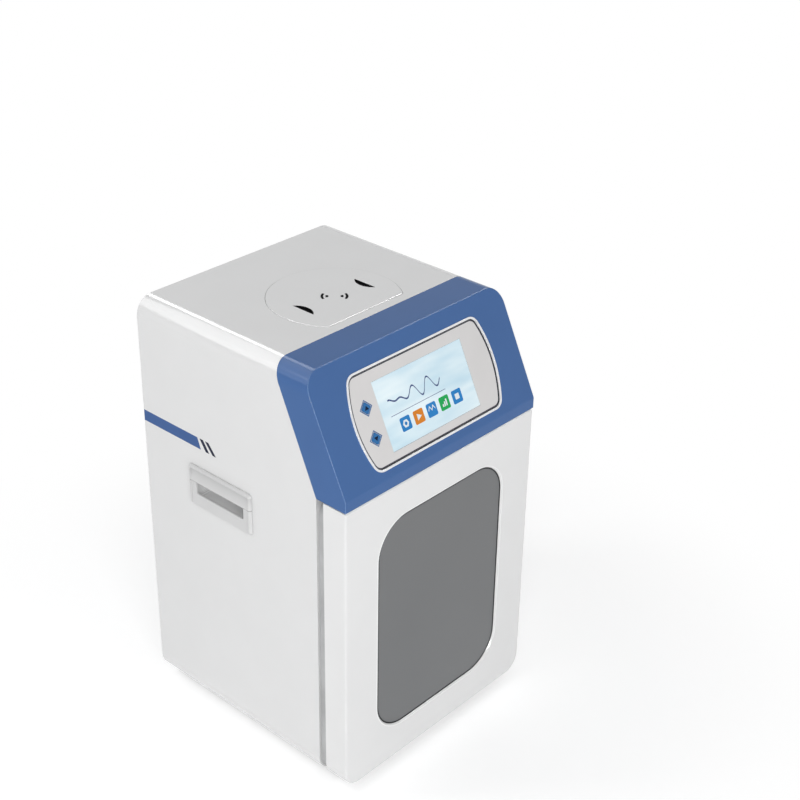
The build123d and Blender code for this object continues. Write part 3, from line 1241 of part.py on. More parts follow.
PARTS = {
    "cabinet_shell": make_cabinet_shell(),
    "front_frame": make_front_frame(),
    "base_plate": make_base_plate(),
    "rubber_feet": make_rubber_feet(),
    "rear_panel": make_rear_panel(),
    "divider_wall": make_divider_wall(),
    "deck_plate": make_deck_plate(),
    "head_bulkhead": make_head_bulkhead(),
    "control_head": make_control_head(),
    "panel_trim": make_panel_trim(),
    "control_panel": make_control_panel(),
    "touch_screen": make_touch_screen(),
    "raise_key": make_key(KEY_HEIGHTS["raise_key"]),
    "lower_key": make_key(KEY_HEIGHTS["lower_key"]),
    "control_board": make_control_board(),
    "key_switches": make_key_switches(),
    "left_handle": make_handle(-1),
    "right_handle": make_handle(1),
    "sound_foam": make_sound_foam(),
    "liner_sheets": make_liner_sheets(),
    "chamber_floor": make_chamber_floor(),
    "door_shell": make_door_shell(),
    "door_core": make_door_core(),
    "door_back_panel": make_door_back_panel(),
    "window_pane": make_window_pane(),
    "window_gasket": make_window_gasket(),
    "door_seal": make_door_seal(),
    "strike_plate": make_strike_plate(),
    "catch_magnet": make_catch_magnet(),
    "hinge_cabinet_leaves": make_hinge_cabinet_leaves(),
    "hinge_door_leaves": make_hinge_door_leaves(),
    "hinge_pins": make_hinge_pins(),
    "top_lid": make_top_lid(),
    "transducer_housing": make_transducer_housing(),
    "front_mass": make_front_mass(),
    "piezo_discs": make_piezo_discs(),
    "back_mass": make_back_mass(),
    "horn": make_horn(),
    "titanium_probe": make_titanium_probe(),
    "stage_platform": make_stage_platform(),
    "stage_carriage": make_stage_carriage(),
    "lift_nut": make_lift_nut(),
    "lead_screw": make_lead_screw(),
    "guide_rods": make_guide_rods(),
    "lift_end_blocks": make_lift_end_blocks(),
    "shaft_coupling": make_shaft_coupling(),
    "lift_motor": make_lift_motor(),
    "temperature_probe": make_temperature_probe(),
    "chamber_lamp": make_chamber_lamp(),
    "generator_board": make_generator_board(),
    "heat_sink": make_heat_sink(),
    "board_parts": make_board_parts(),
    "power_supply": make_power_supply(),
    "fan_frame": make_fan_frame(),
    "fan_rotor": make_fan_rotor(),
    "fan_guard": make_fan_guard(),
    "power_inlet": make_power_inlet(),
    "switch_body": make_switch_body(),
    "power_rocker": make_power_rocker(),
}

os.makedirs("parts", exist_ok=True)
for name, shape in PARTS.items():
    export_step(Pos(0, -CABINET_DEPTH / 2, FOOT_HEIGHT) * shape, f"parts/{name}.step")
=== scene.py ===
"""Looks for the bench probe sonicator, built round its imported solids.

The frame is in metres: x to the right, y back, z up from the bench. Drawings and the places
that spot takes are written in millimetres.
"""

from math import atan2, cos, pi, radians, sin, sqrt

import bpy
from mathutils import Matrix, Vector


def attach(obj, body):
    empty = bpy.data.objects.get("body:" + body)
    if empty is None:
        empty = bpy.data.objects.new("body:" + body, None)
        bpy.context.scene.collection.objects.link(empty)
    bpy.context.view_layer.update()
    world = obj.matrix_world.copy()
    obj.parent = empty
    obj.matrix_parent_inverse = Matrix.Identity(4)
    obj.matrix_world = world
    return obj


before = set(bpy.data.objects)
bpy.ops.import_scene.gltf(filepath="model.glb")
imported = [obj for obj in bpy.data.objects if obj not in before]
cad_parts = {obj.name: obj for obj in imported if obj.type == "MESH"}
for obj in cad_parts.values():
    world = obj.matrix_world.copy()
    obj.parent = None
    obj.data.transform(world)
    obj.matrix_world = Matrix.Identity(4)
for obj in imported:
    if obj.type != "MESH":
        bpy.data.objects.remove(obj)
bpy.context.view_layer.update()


# Camera. It stands at the front left and above, turned and tilted as a line fit of the
# cabinet's edges gives it, and its roll is under one degree.
camera_data = bpy.data.cameras.new("camera")
camera_data.sensor_width = 36
camera_data.lens = 69.57
camera_data.shift_x = 0.0029
camera_data.shift_y = 0.0024
camera = bpy.data.objects.new("camera", camera_data)
camera_point = Vector((-1.1963, -1.1766, 1.3586))
yaw = radians(47.953)
pitch = radians(29.034)
roll = radians(0.889)
ahead = Vector((sin(yaw) * cos(pitch), cos(yaw) * cos(pitch), -sin(pitch)))
level_right = Vector((cos(yaw), -sin(yaw), 0))
level_up = Vector((sin(yaw) * sin(pitch), cos(yaw) * sin(pitch), cos(pitch)))
right = level_right * cos(roll) + level_up * sin(roll)
up = level_up * cos(roll) - level_right * sin(roll)
camera_turn = Matrix((right, up, -ahead)).transposed()
camera.matrix_world = Matrix.Translation(camera_point) @ camera_turn.to_4x4()
bpy.context.scene.collection.objects.link(camera)
bpy.context.scene.camera = camera
bpy.context.scene.view_settings.view_transform = "Standard"


# Studio. A white floor that keeps a soft shadow, in a white surround. A large soft lamp stands
# at the front left and a small one at the rear left. Four panels only add gloss to the painted
# shells: they draw the bright lines along the rounded edges and the creases.
painted = bpy.data.collections.new("painted")
for name in ("cabinet_shell", "control_head", "panel_trim", "door_shell", "top_lid"):
    painted.objects.link(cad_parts[name])


def lamp(name, place, aim, along, length, width, watts, only_gloss=False):
    """A soft box that faces a point, with its length along one direction."""
    light = bpy.data.lights.new(name, "AREA")
    light.shape = "RECTANGLE"
    light.size = length
    light.size_y = width
    light.energy = watts
    body = bpy.data.objects.new(name, light)
    backward = (Vector(place) - Vector(aim)).normalized()
    sideways = (Vector(along) - backward * backward.dot(Vector(along))).normalized()
    columns = Matrix((sideways, backward.cross(sideways), backward)).transposed()
    body.matrix_world = Matrix.Translation(place) @ columns.to_4x4()
    bpy.context.scene.collection.objects.link(body)
    if only_gloss:
        body.visible_diffuse = False
        body.visible_transmission = False
        body.light_linking.receiver_collection = painted


def seen_as_white(tree, output, view, lighting):
    """Shows one shader to the camera, to gloss and through glass, and another to the light."""
    rays = tree.nodes.new("ShaderNodeLightPath")
    sees = tree.nodes.new("ShaderNodeMath")
    sees.operation = "MAXIMUM"
    tree.links.new(rays.outputs["Is Camera Ray"], sees.inputs[0])
    tree.links.new(rays.outputs["Is Transmission Ray"], sees.inputs[1])
    also = tree.nodes.new("ShaderNodeMath")
    also.operation = "MAXIMUM"
    tree.links.new(sees.outputs[0], also.inputs[0])
    tree.links.new(rays.outputs["Is Glossy Ray"], also.inputs[1])
    mix = tree.nodes.new("ShaderNodeMixShader")
    tree.links.new(also.outputs[0], mix.inputs[0])
    tree.links.new(lighting.outputs[0], mix.inputs[1])
    tree.links.new(view.outputs[0], mix.inputs[2])
    tree.links.new(mix.outputs[0], output.inputs["Surface"])


def share_between(tree, value, low, high, way="LINEAR"):
    """How far a value lies between two limits, from 0 to 1."""
    share = tree.nodes.new("ShaderNodeMapRange")
    share.interpolation_type = way
    share.inputs["From Min"].default_value = low
    share.inputs["From Max"].default_value = high
    tree.links.new(value, share.inputs["Value"])
    return share.outputs["Result"]


surround = bpy.data.worlds.new("surround")
surround.use_nodes = True
bpy.context.scene.world = surround
surround_tree = surround.node_tree
soft_fill = surround_tree.nodes["Background"]
soft_fill.inputs["Color"].default_value = (0.99, 0.995, 1, 1)
soft_fill.inputs["Strength"].default_value = 0.54
white_view = surround_tree.nodes.new("ShaderNodeBackground")
white_view.inputs["Color"].default_value = (1, 1, 1, 1)
white_view.inputs["Strength"].default_value = 1
seen_as_white(surround_tree, surround_tree.nodes["World Output"], white_view, soft_fill)

# Each lamp has its place, the point it faces, the way its length runs, its length, width and watts.
side_edge = (-0.16, 1.08, 0.55)
lamp("key_lamp", (-1.75, -2.1, 1.2), (0, 0, 0.3), (0, 0, 1), 1.8, 1.6, 33.5)
lamp("rear_left_lamp", (-1.3, 1.1, 2.1), (0, 0, 0.35), (0, 0, 1), 0.5, 0.5, 7)
lamp("edge_panel", (-0.84, 1.08, 1.9), side_edge, (0, 1, 0), 1.6, 2.6, 44, only_gloss=True)
lamp("edge_strip", (0.56, 1.08, 1.9), side_edge, (0, 1, 0), 1.6, 0.5, 17, only_gloss=True)
lamp("corner_panel", (-2.03, -1.8, 0.6), (-0.12, -0.14, 0.5), (0, 0, 1), 1.2, 2.8, 240, only_gloss=True)
lamp("crease_panel", (1.15, -0.5, 2.0), (1.15, -0.11, 0.56), (1, 0, 0), 1.8, 1.4, 100, only_gloss=True)

# The floor is matt paper near the feet, where it keeps the shadow, and plain white further out.
four_corners = ((-1, -1), (1, -1), (1, 1), (-1, 1))
floor_half = 8
shadow_reach = 0.35
white_reach = 0.75
floor_corners = [(x * floor_half, y * floor_half, 0) for x, y in four_corners]
floor_mesh = bpy.data.meshes.new("floor")
floor_mesh.from_pydata(floor_corners, [], [(0, 1, 2, 3)])
floor = bpy.data.objects.new("floor", floor_mesh)
bpy.context.scene.collection.objects.link(floor)
floor_white = bpy.data.materials.new("floor_white")
floor_white.use_nodes = True
floor_tree = floor_white.node_tree
floor_output = floor_tree.nodes["Material Output"]
floor_tree.nodes.remove(floor_tree.nodes["Principled BSDF"])
paper = floor_tree.nodes.new("ShaderNodeBsdfDiffuse")
paper.inputs["Color"].default_value = (0.95, 0.95, 0.95, 1)
paper_glow = floor_tree.nodes.new("ShaderNodeEmission")
paper_glow.inputs["Strength"].default_value = 0.3
near_view = floor_tree.nodes.new("ShaderNodeAddShader")
floor_tree.links.new(paper.outputs[0], near_view.inputs[0])
floor_tree.links.new(paper_glow.outputs[0], near_view.inputs[1])
far_view = floor_tree.nodes.new("ShaderNodeEmission")
floor_place = floor_tree.nodes.new("ShaderNodeTexCoord")
floor_reach = floor_tree.nodes.new("ShaderNodeVectorMath")
floor_reach.operation = "LENGTH"
floor_tree.links.new(floor_place.outputs["Object"], floor_reach.inputs[0])
floor_fade = share_between(
    floor_tree, floor_reach.outputs["Value"], shadow_reach, white_reach, way="SMOOTHSTEP"
)
floor_view = floor_tree.nodes.new("ShaderNodeMixShader")
floor_tree.links.new(floor_fade, floor_view.inputs[0])
floor_tree.links.new(near_view.outputs[0], floor_view.inputs[1])
floor_tree.links.new(far_view.outputs[0], floor_view.inputs[2])
seen_as_white(floor_tree, floor_output, floor_view, paper)
floor_mesh.materials.append(floor_white)


# Cabinet wrap. One sheet of steel folded round the top, sides and bottom and powder coated in
# a satin white, with its rear edge left as a rim round the recessed panel. Painted shade darkens
# its colour in its inner corners and round raised parts.
def noise(tree, place, scale, detail):
    """Soft clouds through the solid, or fine specks where the scale is high."""
    clouds = tree.nodes.new("ShaderNodeTexNoise")
    clouds.inputs["Scale"].default_value = scale
    clouds.inputs["Detail"].default_value = detail
    tree.links.new(place, clouds.inputs["Vector"])
    return clouds.outputs["Fac"]


def ramp(tree, value, stops):
    """Turns a value into a colour, through stops that each have a position and a colour."""
    shade = tree.nodes.new("ShaderNodeValToRGB")
    marks = shade.color_ramp.elements
    for mark, (position, colour) in zip(marks, (stops[0], stops[-1])):
        mark.position = position
        mark.color = (*colour, 1)
    for position, colour in stops[1:-1]:
        marks.new(position).color = (*colour, 1)
    tree.links.new(value, shade.inputs["Fac"])
    return shade


def mixed(tree, share, first, second, way="MIX"):
    """Mixes two colours. The share and each colour are plain values or come from a node."""
    mix = tree.nodes.new("ShaderNodeMix")
    mix.data_type = "RGBA"
    mix.blend_type = way
    sockets = (mix.inputs[0], mix.inputs[6], mix.inputs[7])
    for socket, source in zip(sockets, (share, first, second)):
        if isinstance(source, bpy.types.NodeSocket):
            tree.links.new(source, socket)
        else:
            socket.default_value = source
    return mix.outputs[2]


def finish(
    name,
    colour,
    roughness,
    metallic=0.0,
    mottle=0.02,
    grain=0.04,
    grain_scale=1400.0,
    edge=0.0,
    sheen=0.5,
):
    """A finish with a fine grain in its surface and slight unevenness in colour and gloss."""
    material = bpy.data.materials.new(name)
    material.use_nodes = True
    tree = material.node_tree
    surface = tree.nodes["Principled BSDF"]
    surface.inputs["Metallic"].default_value = metallic
    surface.inputs["Specular IOR Level"].default_value = sheen
    place = tree.nodes.new("ShaderNodeTexCoord").outputs["Object"]
    darker = [part * (1 - mottle) for part in colour]
    lighter = [min(1, part * (1 + mottle)) for part in colour]
    tint = ramp(tree, noise(tree, place, 22, 3), [(0.35, darker), (0.65, lighter)])
    tint.name = "tint"
    tree.links.new(tint.outputs["Color"], surface.inputs["Base Color"])
    specks = noise(tree, place, grain_scale, 2)
    gloss = tree.nodes.new("ShaderNodeMapRange")
    gloss.inputs["To Min"].default_value = max(0.02, roughness - 0.04)
    gloss.inputs["To Max"].default_value = min(1, roughness + 0.04)
    tree.links.new(specks, gloss.inputs["Value"])
    tree.links.new(gloss.outputs["Result"], surface.inputs["Roughness"])
    bump = tree.nodes.new("ShaderNodeBump")
    bump.name = "grain"
    bump.inputs["Strength"].default_value = grain
    bump.inputs["Distance"].default_value = 0.0004
    tree.links.new(specks, bump.inputs["Height"])
    if edge:
        softened = tree.nodes.new("ShaderNodeBevel")
        softened.name = "soft_edge"
        softened.samples = 4
        softened.inputs["Radius"].default_value = edge
        tree.links.new(softened.outputs["Normal"], bump.inputs["Normal"])
    tree.links.new(bump.outputs["Normal"], surface.inputs["Normal"])
    return material


def dress(material, *names):
    """Gives CAD pieces their real finish."""
    for name in names:
        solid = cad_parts[name]
        if not solid.material_slots:
            solid.data.materials.append(material)
        for holder in solid.material_slots:
            holder.material = material


cabinet_white = finish("cabinet_white", (0.79, 0.79, 0.79), 0.1, mottle=0.006, grain=0.01, edge=0.0006)
white_tree = cabinet_white.node_tree
white_tint = white_tree.nodes["tint"].outputs["Color"]
# Painted shade: the white is darkened where other surfaces close in, in inner corners and round raised
# parts.
inner_corners = white_tree.nodes.new("ShaderNodeAmbientOcclusion")
inner_corners.samples = 8
inner_corners.inputs["Distance"].default_value = 0.016
painted_corner_shade = ramp(white_tree, inner_corners.outputs["AO"], [(0.4, (0.7, 0.7, 0.7)), (1, (1, 1, 1))])
corner_shaded_white = mixed(white_tree, 1, white_tint, painted_corner_shade.outputs["Color"], way="MULTIPLY")
white_tree.links.new(corner_shaded_white, white_tree.nodes["Principled BSDF"].inputs["Base Color"])
dress(cabinet_white, "cabinet_shell", "front_frame", "rear_panel")


# Side stripe. A blue vinyl strip along each side at the head's foot, cut at a slant, with two
# slanted navy bars ahead of it. They are stuck on and stand a tenth of a millimetre proud.
door_face = -0.17395
underside = 0.012


def spot(x, y, z):
    """A point from millimetres across, back from the door's face and up from the underside."""
    return Vector((x / 1000, y / 1000 + door_face, z / 1000 + underside))


def facing(origin, across, upward):
    """The place of a flat drawing: its own x runs across, its y upward, and it faces outward."""
    across = Vector(across).normalized()
    upward = Vector(upward).normalized()
    outward = across.cross(upward)
    columns = Matrix((across, upward, outward)).transposed()
    return Matrix.Translation(origin) @ columns.to_4x4()


def flat_piece(name, outlines, thickness, edge, place, material, body):
    """A piece cut from sheet, in millimetres: the first outline is its edge, the rest are holes."""
    drawing = bpy.data.curves.new(name, "CURVE")
    drawing.dimensions = "2D"
    drawing.fill_mode = "BOTH"
    drawing.extrude = (thickness / 2 - edge) / 1000
    drawing.bevel_depth = edge / 1000
    drawing.bevel_resolution = 2
    drawing.offset = -edge / 1000
    for outline in outlines:
        spline = drawing.splines.new("POLY")
        spline.points.add(len(outline) - 1)
        for point, (u, v) in zip(spline.points, outline):
            point.co = (u / 1000, v / 1000, 0, 1)
        spline.use_cyclic_u = True
    pattern = bpy.data.objects.new(name + "_pattern", drawing)
    mesh = bpy.data.meshes.new_from_object(pattern)
    bpy.data.objects.remove(pattern)
    bpy.data.curves.remove(drawing)
    mesh.transform(Matrix.Translation((0, 0, thickness / 2000)))
    mesh.materials.clear()
    mesh.materials.append(material)
    made = bpy.data.objects.new(name, mesh)
    bpy.context.scene.collection.objects.link(made)
    made.matrix_world = place
    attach(made, body)


stripe_blue = finish("stripe_blue", (0.050, 0.118, 0.315), 0.4, mottle=0.03, grain=0.02, sheen=0.15)
bar_navy = finish("bar_navy", (0.012, 0.015, 0.042), 0.4, mottle=0.03, grain=0.02, sheen=0.15)
wall_face = 168
vinyl_thickness = 0.1
stripe_top = 405
stripe_foot = 390
stripe_heights = (stripe_top, stripe_top, stripe_foot, stripe_foot)
# Each piece's corners, back from the door's face: top rear, top front, foot front, foot rear.
stripe_corners = {
    "stripe": (347.4, 248.2, 242.6, 347.4),
    "stripe_bar_rear": (244, 237.8, 227.4, 233.6),
    "stripe_bar_front": (234.2, 228.2, 215.4, 221.4),
}
for label, side in (("left", -1), ("right", 1)):
    beside = facing(spot(side * wall_face, 0, 0), (0, side, 0), (0, 0, 1))
    for name, corners in stripe_corners.items():
        drawn = [(side * y, z) for y, z in zip(corners, stripe_heights)]
        vinyl = stripe_blue if name == "stripe" else bar_navy
        piece = f"{label}_{name}"
        flat_piece(piece, [drawn], vinyl_thickness, 0.0, beside, vinyl, "cabinet")


# Access lid. A disc of the same coated steel, cut straight at the front, that lies in a pressed
# seat. Two finger slots and two curved vents, with a dot beside each, are punched through it.
lid_white = finish("lid_white", (0.79, 0.79, 0.79), 0.1, mottle=0.006, grain=0.01, edge=0.0006)
dress(lid_white, "top_lid")


# Base and feet. A steel plate inside the wrap's bottom, and four tapered rubber feet below it,
# each held by one screw through the plate.
def rings(count, radius):
    """A circle's points in millimetres."""
    turns = [2 * pi * k / count for k in range(count)]
    return [(radius * cos(turn), radius * sin(turn)) for turn in turns]


def cross(arm, width):
    """A cross recess's outline in millimetres."""
    half = [(arm, -width), (arm, width), (width, width), (width, arm), (-width, arm), (-width, width)]
    return half + [(-u, -v) for u, v in half]


zinc = finish("zinc", (0.62, 0.62, 0.6), 0.35, metallic=1.0, mottle=0.06, grain=0.05, grain_scale=900)
steel_plate = finish("steel_plate", (0.52, 0.53, 0.54), 0.42, metallic=1.0, mottle=0.05, grain=0.05)
foot_rubber = finish("foot_rubber", (0.03, 0.03, 0.032), 0.75, mottle=0.15, grain=0.2, grain_scale=700)
dress(steel_plate, "base_plate", "divider_wall", "deck_plate", "head_bulkhead")
dress(foot_rubber, "rubber_feet")


def screw(name, point, outward, radius, body):
    """A pan-head screw with a cross recess, seen from outside."""
    outward = Vector(outward).normalized()
    across = outward.orthogonal().normalized()
    place = facing(point, across, outward.cross(across))
    head_height = radius * 0.55
    head_rounding = radius * 0.2
    head = [rings(24, radius), cross(radius * 0.62, radius * 0.13)]
    flat_piece(name, head, head_height, head_rounding, place, zinc, body)
    recess_floor = radius * 0.2
    well = [rings(16, radius * 0.8)]
    flat_piece(name + "_recess", well, recess_floor, 0.0, place, zinc, body)


foot_across = 118
foot_front = 96
foot_rear = 297.9
base_top = 4.5
foot_points = [(x, y) for y in (foot_front, foot_rear) for x in (-foot_across, foot_across)]
for k, (x, y) in enumerate(foot_points):
    screw(f"foot_screw_{k}", spot(x, y, base_top), (0, 0, 1), 3.5, "cabinet")


# Lid inserts. Black sleeves line each finger slot, black plugs fill the two curved vents and
# their dots under thin black heads, and a black sheet lies under the slots. They are painted
# shade: the slots and vents read as dark holes.
hole_shade_black = finish(
    "hole_shade_black", (0.006, 0.006, 0.007), 0.8, mottle=0.1, grain=0.2, grain_scale=500, sheen=0.1
)
lid_centre = 180.9
lid_top = 557.13
insert_foot = 553.6
insert_height = 3.3
shade_sheet_foot = 553.1
shade_sheet_thickness = 0.35
shade_sheet_near = 41
shade_sheet_far = 56
shade_sheet_half = 20
slot_width = 9.0
slot_half_length = 17.8
slot_outer_edge = 53.2
slot_corner_pull = 2.4
sleeve_outside = 0.06
sleeve_inside = 0.6


def d_shape(side, inset):
    """The finger slot's outline: a straight chord and a bow towards the lid's middle."""
    bulge = slot_width - 2 * inset
    half = slot_half_length - slot_corner_pull * inset
    bow = (half**2 + bulge**2) / (2 * bulge)
    chord = slot_outer_edge - inset
    turns = [-1 + 2 * k / 20 for k in range(21)]
    curve = [(chord - bulge + bow - sqrt(bow**2 - (half * t) ** 2), half * t) for t in turns]
    return [(side * x, y) for x, y in curve]


def arc_band(radius, width, middle, span):
    """A curved slot's outline about the lid's middle, with its turn and span in degrees."""
    turns = [radians(middle + span * (k / 8 - 0.5)) for k in range(9)]
    outer = [((radius + width / 2) * cos(turn), (radius + width / 2) * sin(turn)) for turn in turns]
    inner = [((radius - width / 2) * cos(turn), (radius - width / 2) * sin(turn)) for turn in turns]
    return outer + inner[::-1]


def lid_insert(name, outlines, foot, thickness):
    """A black insert, drawn about the lid's middle, from its foot's height above the underside."""
    place = facing(spot(0, lid_centre, foot), (1, 0, 0), (0, 1, 0))
    flat_piece(name, outlines, thickness, 0.0, place, hole_shade_black, "top_lid")


for label, side in (("left", -1), ("right", 1)):
    walls = [d_shape(side, sleeve_outside), d_shape(side, sleeve_inside)]
    lid_insert(f"lid_sleeve_{label}", walls, insert_foot, insert_height)
    near = side * shade_sheet_near
    far = side * shade_sheet_far
    shade_sheet = [(near, -shade_sheet_half), (far, -shade_sheet_half), (far, shade_sheet_half), (near, shade_sheet_half)]
    lid_insert(f"lid_cloth_{label}", [shade_sheet], shade_sheet_foot, shade_sheet_thickness)
vent_reach = 15.2
vent_width = 2.9
vent_span = 44
vent_head_width = 3.1
vent_head_span = 58
dot_reach = 8.8
dot_radius = 1.55
dot_head_reach = 9.3
dot_head_width = 3.2
dot_head_span = 34
head_thickness = 0.1
for label, turn in (("rear", 135), ("front", 315)):
    vent = arc_band(vent_reach, vent_width, turn, vent_span)
    lid_insert(f"vent_plug_{label}", [vent], insert_foot, insert_height)
    dot_x = dot_reach * cos(radians(turn))
    dot_y = dot_reach * sin(radians(turn))
    dot = [(dot_x + x, dot_y + y) for x, y in rings(20, dot_radius)]
    lid_insert(f"dot_plug_{label}", [dot], insert_foot, insert_height)
    vent_head = arc_band(vent_reach, vent_head_width, turn, vent_head_span)
    lid_insert(f"vent_head_{label}", [vent_head], lid_top, head_thickness)
    dot_head = arc_band(dot_head_reach, dot_head_width, turn, dot_head_span)
    lid_insert(f"dot_head_{label}", [dot_head], lid_top, head_thickness)


# Control head. A blue moulding across the top front: a short upright lip, the tilted face and
# a strip of the top. It is satin and slightly grained, and clips over the slanted bulkhead.
# A painted highlight runs along its long side edges as a thin lighter line.
lip_top = 420.9
crease_height = 556.5
crease_depth = 65.3
highlight_start = 0.24
highlight_full = 0.42
slope_up = Vector((0, crease_depth, crease_height - lip_top)).normalized()
slope_out = Vector((0, -(crease_height - lip_top), crease_depth)).normalized()
head_blue = finish(
    "head_blue", (0.066, 0.149, 0.358), 0.12, mottle=0.015, grain=0.01, edge=0.0012, sheen=0.12
)
blue_tree = head_blue.node_tree
blue_tint = blue_tree.nodes["tint"].outputs["Color"]
# Painted highlight: the colour turns light blue on the rounded edge between the side and the tilted face.
turned = []
for direction in ((1, 0, 0), slope_out):
    reach = blue_tree.nodes.new("ShaderNodeVectorMath")
    reach.operation = "DOT_PRODUCT"
    reach.inputs[1].default_value = direction
    blue_tree.links.new(blue_tree.nodes["soft_edge"].outputs["Normal"], reach.inputs[0])
    turned.append(reach.outputs["Value"])
either_side = blue_tree.nodes.new("ShaderNodeMath")
either_side.operation = "ABSOLUTE"
blue_tree.links.new(turned[0], either_side.inputs[0])
between = blue_tree.nodes.new("ShaderNodeMath")
between.operation = "MULTIPLY"
blue_tree.links.new(either_side.outputs[0], between.inputs[0])
blue_tree.links.new(turned[1], between.inputs[1])
edge_highlight_share = share_between(blue_tree, between.outputs[0], highlight_start, highlight_full)
painted_edge_highlight = mixed(blue_tree, edge_highlight_share, blue_tint, (0.30, 0.47, 0.76, 1))
blue_tree.links.new(painted_edge_highlight, blue_tree.nodes["Principled BSDF"].inputs["Base Color"])
dress(head_blue, "control_head")


# Control panel. A warm grey insert with bowed sides, set inside a raised glossy white ring. A
# black strip in the groove under the ring and a fine dark line along the panel's rim are painted
# shade, the shadow of that groove.
panel_grey = finish("panel_grey", (0.715, 0.70, 0.695), 0.5, mottle=0.015, grain=0.08, edge=0.0004)
trim_white = finish("trim_white", (0.86, 0.865, 0.88), 0.12, mottle=0.01, grain=0.01, edge=0.0004)
dress(panel_grey, "control_panel")
dress(trim_white, "panel_trim")
panel_middle = 69.1
panel_half_width = 107.6
panel_half_height = 56.5
side_bulge = 12
corner_radius = 12
groove_floor = 3.75
groove_shade_height = 3.1
groove_shade_insets = (0.06, 1.34)
panel_face = 0.76
rim_shade_thickness = 0.05
rim_shade_insets = (1.55, 2.45)


def on_slope(x, s, depth):
    """A drawing's place on the tilted face: across, up from the lip, and below the face."""
    point = spot(x, 0, lip_top) + (slope_up * s - slope_out * depth) / 1000
    return facing(point, (1, 0, 0), slope_up)


def bowed_outline(inset):
    """The panel's outline: straight above and below, bowed at the sides, with round corners."""
    bow = (panel_half_height**2 + side_bulge**2) / (2 * side_bulge)
    bow_x = panel_half_width + side_bulge - bow
    corner_y = panel_half_height - corner_radius
    corner_x = bow_x + sqrt((bow - corner_radius) ** 2 - corner_y**2)
    meet = atan2(corner_y, corner_x - bow_x)
    radius = corner_radius - inset
    points = []
    for k in range(13):
        turn = -pi / 2 + (pi / 2 - meet) * k / 12
        points.append((corner_x + radius * cos(turn), -corner_y + radius * sin(turn)))
    for k in range(1, 20):
        turn = -meet + 2 * meet * k / 20
        points.append((bow_x + (bow - inset) * cos(turn), (bow - inset) * sin(turn)))
    for k in range(13):
        turn = meet + (pi / 2 - meet) * k / 12
        points.append((corner_x + radius * cos(turn), corner_y + radius * sin(turn)))
    return points + [(-u, v) for u, v in reversed(points)]


# One black serves the window's real gasket and, in the panel's groove, a strip of painted shade.
gasket_and_shade_black = finish("gasket_and_shade_black", (0.02, 0.02, 0.022), 0.6, mottle=0.1, grain=0.1, grain_scale=600)
groove = on_slope(0, panel_middle, groove_floor)
groove_shade_strip = [bowed_outline(inset) for inset in groove_shade_insets]
flat_piece("panel_groove_shade", groove_shade_strip, groove_shade_height, 0.0, groove, gasket_and_shade_black, "cabinet")
rim_shade_ink = finish("rim_shade_ink", (0.008, 0.012, 0.04), 0.5, mottle=0.03, grain=0.02, sheen=0.1)
rim = on_slope(0, panel_middle, panel_face)
rim_shade_line = [bowed_outline(inset) for inset in rim_shade_insets]
flat_piece("panel_rim_shade", rim_shade_line, rim_shade_thickness, 0.0, rim, rim_shade_ink, "cabinet")


# Touch screen. A 7 inch panel whose picture is a pale blue field with a row of plain tiles:
# a dial, a start triangle, a wave, bars and a stop square. No words are shown.
display = bpy.data.materials.new("display")
display.use_nodes = True
display_tree = display.node_tree
display_face = display_tree.nodes["Principled BSDF"]
display_face.inputs["Roughness"].default_value = 0.12
display_face.inputs["Coat Weight"].default_value = 0.6
display_face.inputs["Coat Roughness"].default_value = 0.04
display_face.inputs["Emission Strength"].default_value = 0.1
# Painted reflection: soft diagonal streaks, lighter and darker, run across the pale blue field.
display_place = display_tree.nodes.new("ShaderNodeTexCoord")
display_turn = display_tree.nodes.new("ShaderNodeMapping")
display_turn.inputs["Rotation"].default_value = (0, 0, radians(32))
display_turn.inputs["Scale"].default_value = (6, 26, 6)
display_tree.links.new(display_place.outputs["Object"], display_turn.inputs["Vector"])
display_painted_reflection = noise(display_tree, display_turn.outputs["Vector"], 1.4, 2)
display_blues = [(0.3, (0.48, 0.69, 0.81)), (0.7, (0.80, 0.91, 0.95))]
display_tint = ramp(display_tree, display_painted_reflection, display_blues).outputs["Color"]
display_tree.links.new(display_tint, display_face.inputs["Base Color"])
display_tree.links.new(display_tint, display_face.inputs["Emission Color"])
screen_case = finish("screen_case", (0.10, 0.10, 0.11), 0.3, mottle=0.05, grain=0.03)
dress(screen_case, "touch_screen")
screen_middle = 66.8
picture_width = 153.6
picture_height = 84.8
glass_face = 1.2
picture_thickness = 0.1
print_thickness = 0.06


def rounded(width, height, radius, x=0.0, y=0.0, steps=6):
    """A rounded rectangle's points about a middle, in millimetres."""
    points = []
    for corner, (cx, cy) in enumerate(((1, 1), (-1, 1), (-1, -1), (1, -1))):
        middle_x = x + cx * (width / 2 - radius)
        middle_y = y + cy * (height / 2 - radius)
        for step in range(steps + 1):
            turn = pi / 2 * (corner + step / steps)
            points.append((middle_x + radius * cos(turn), middle_y + radius * sin(turn)))
    return points


def printed(name, outlines, place, material):
    """A printed shape of the picture."""
    flat_piece(name, outlines, print_thickness, 0.0, place, material, "cabinet")


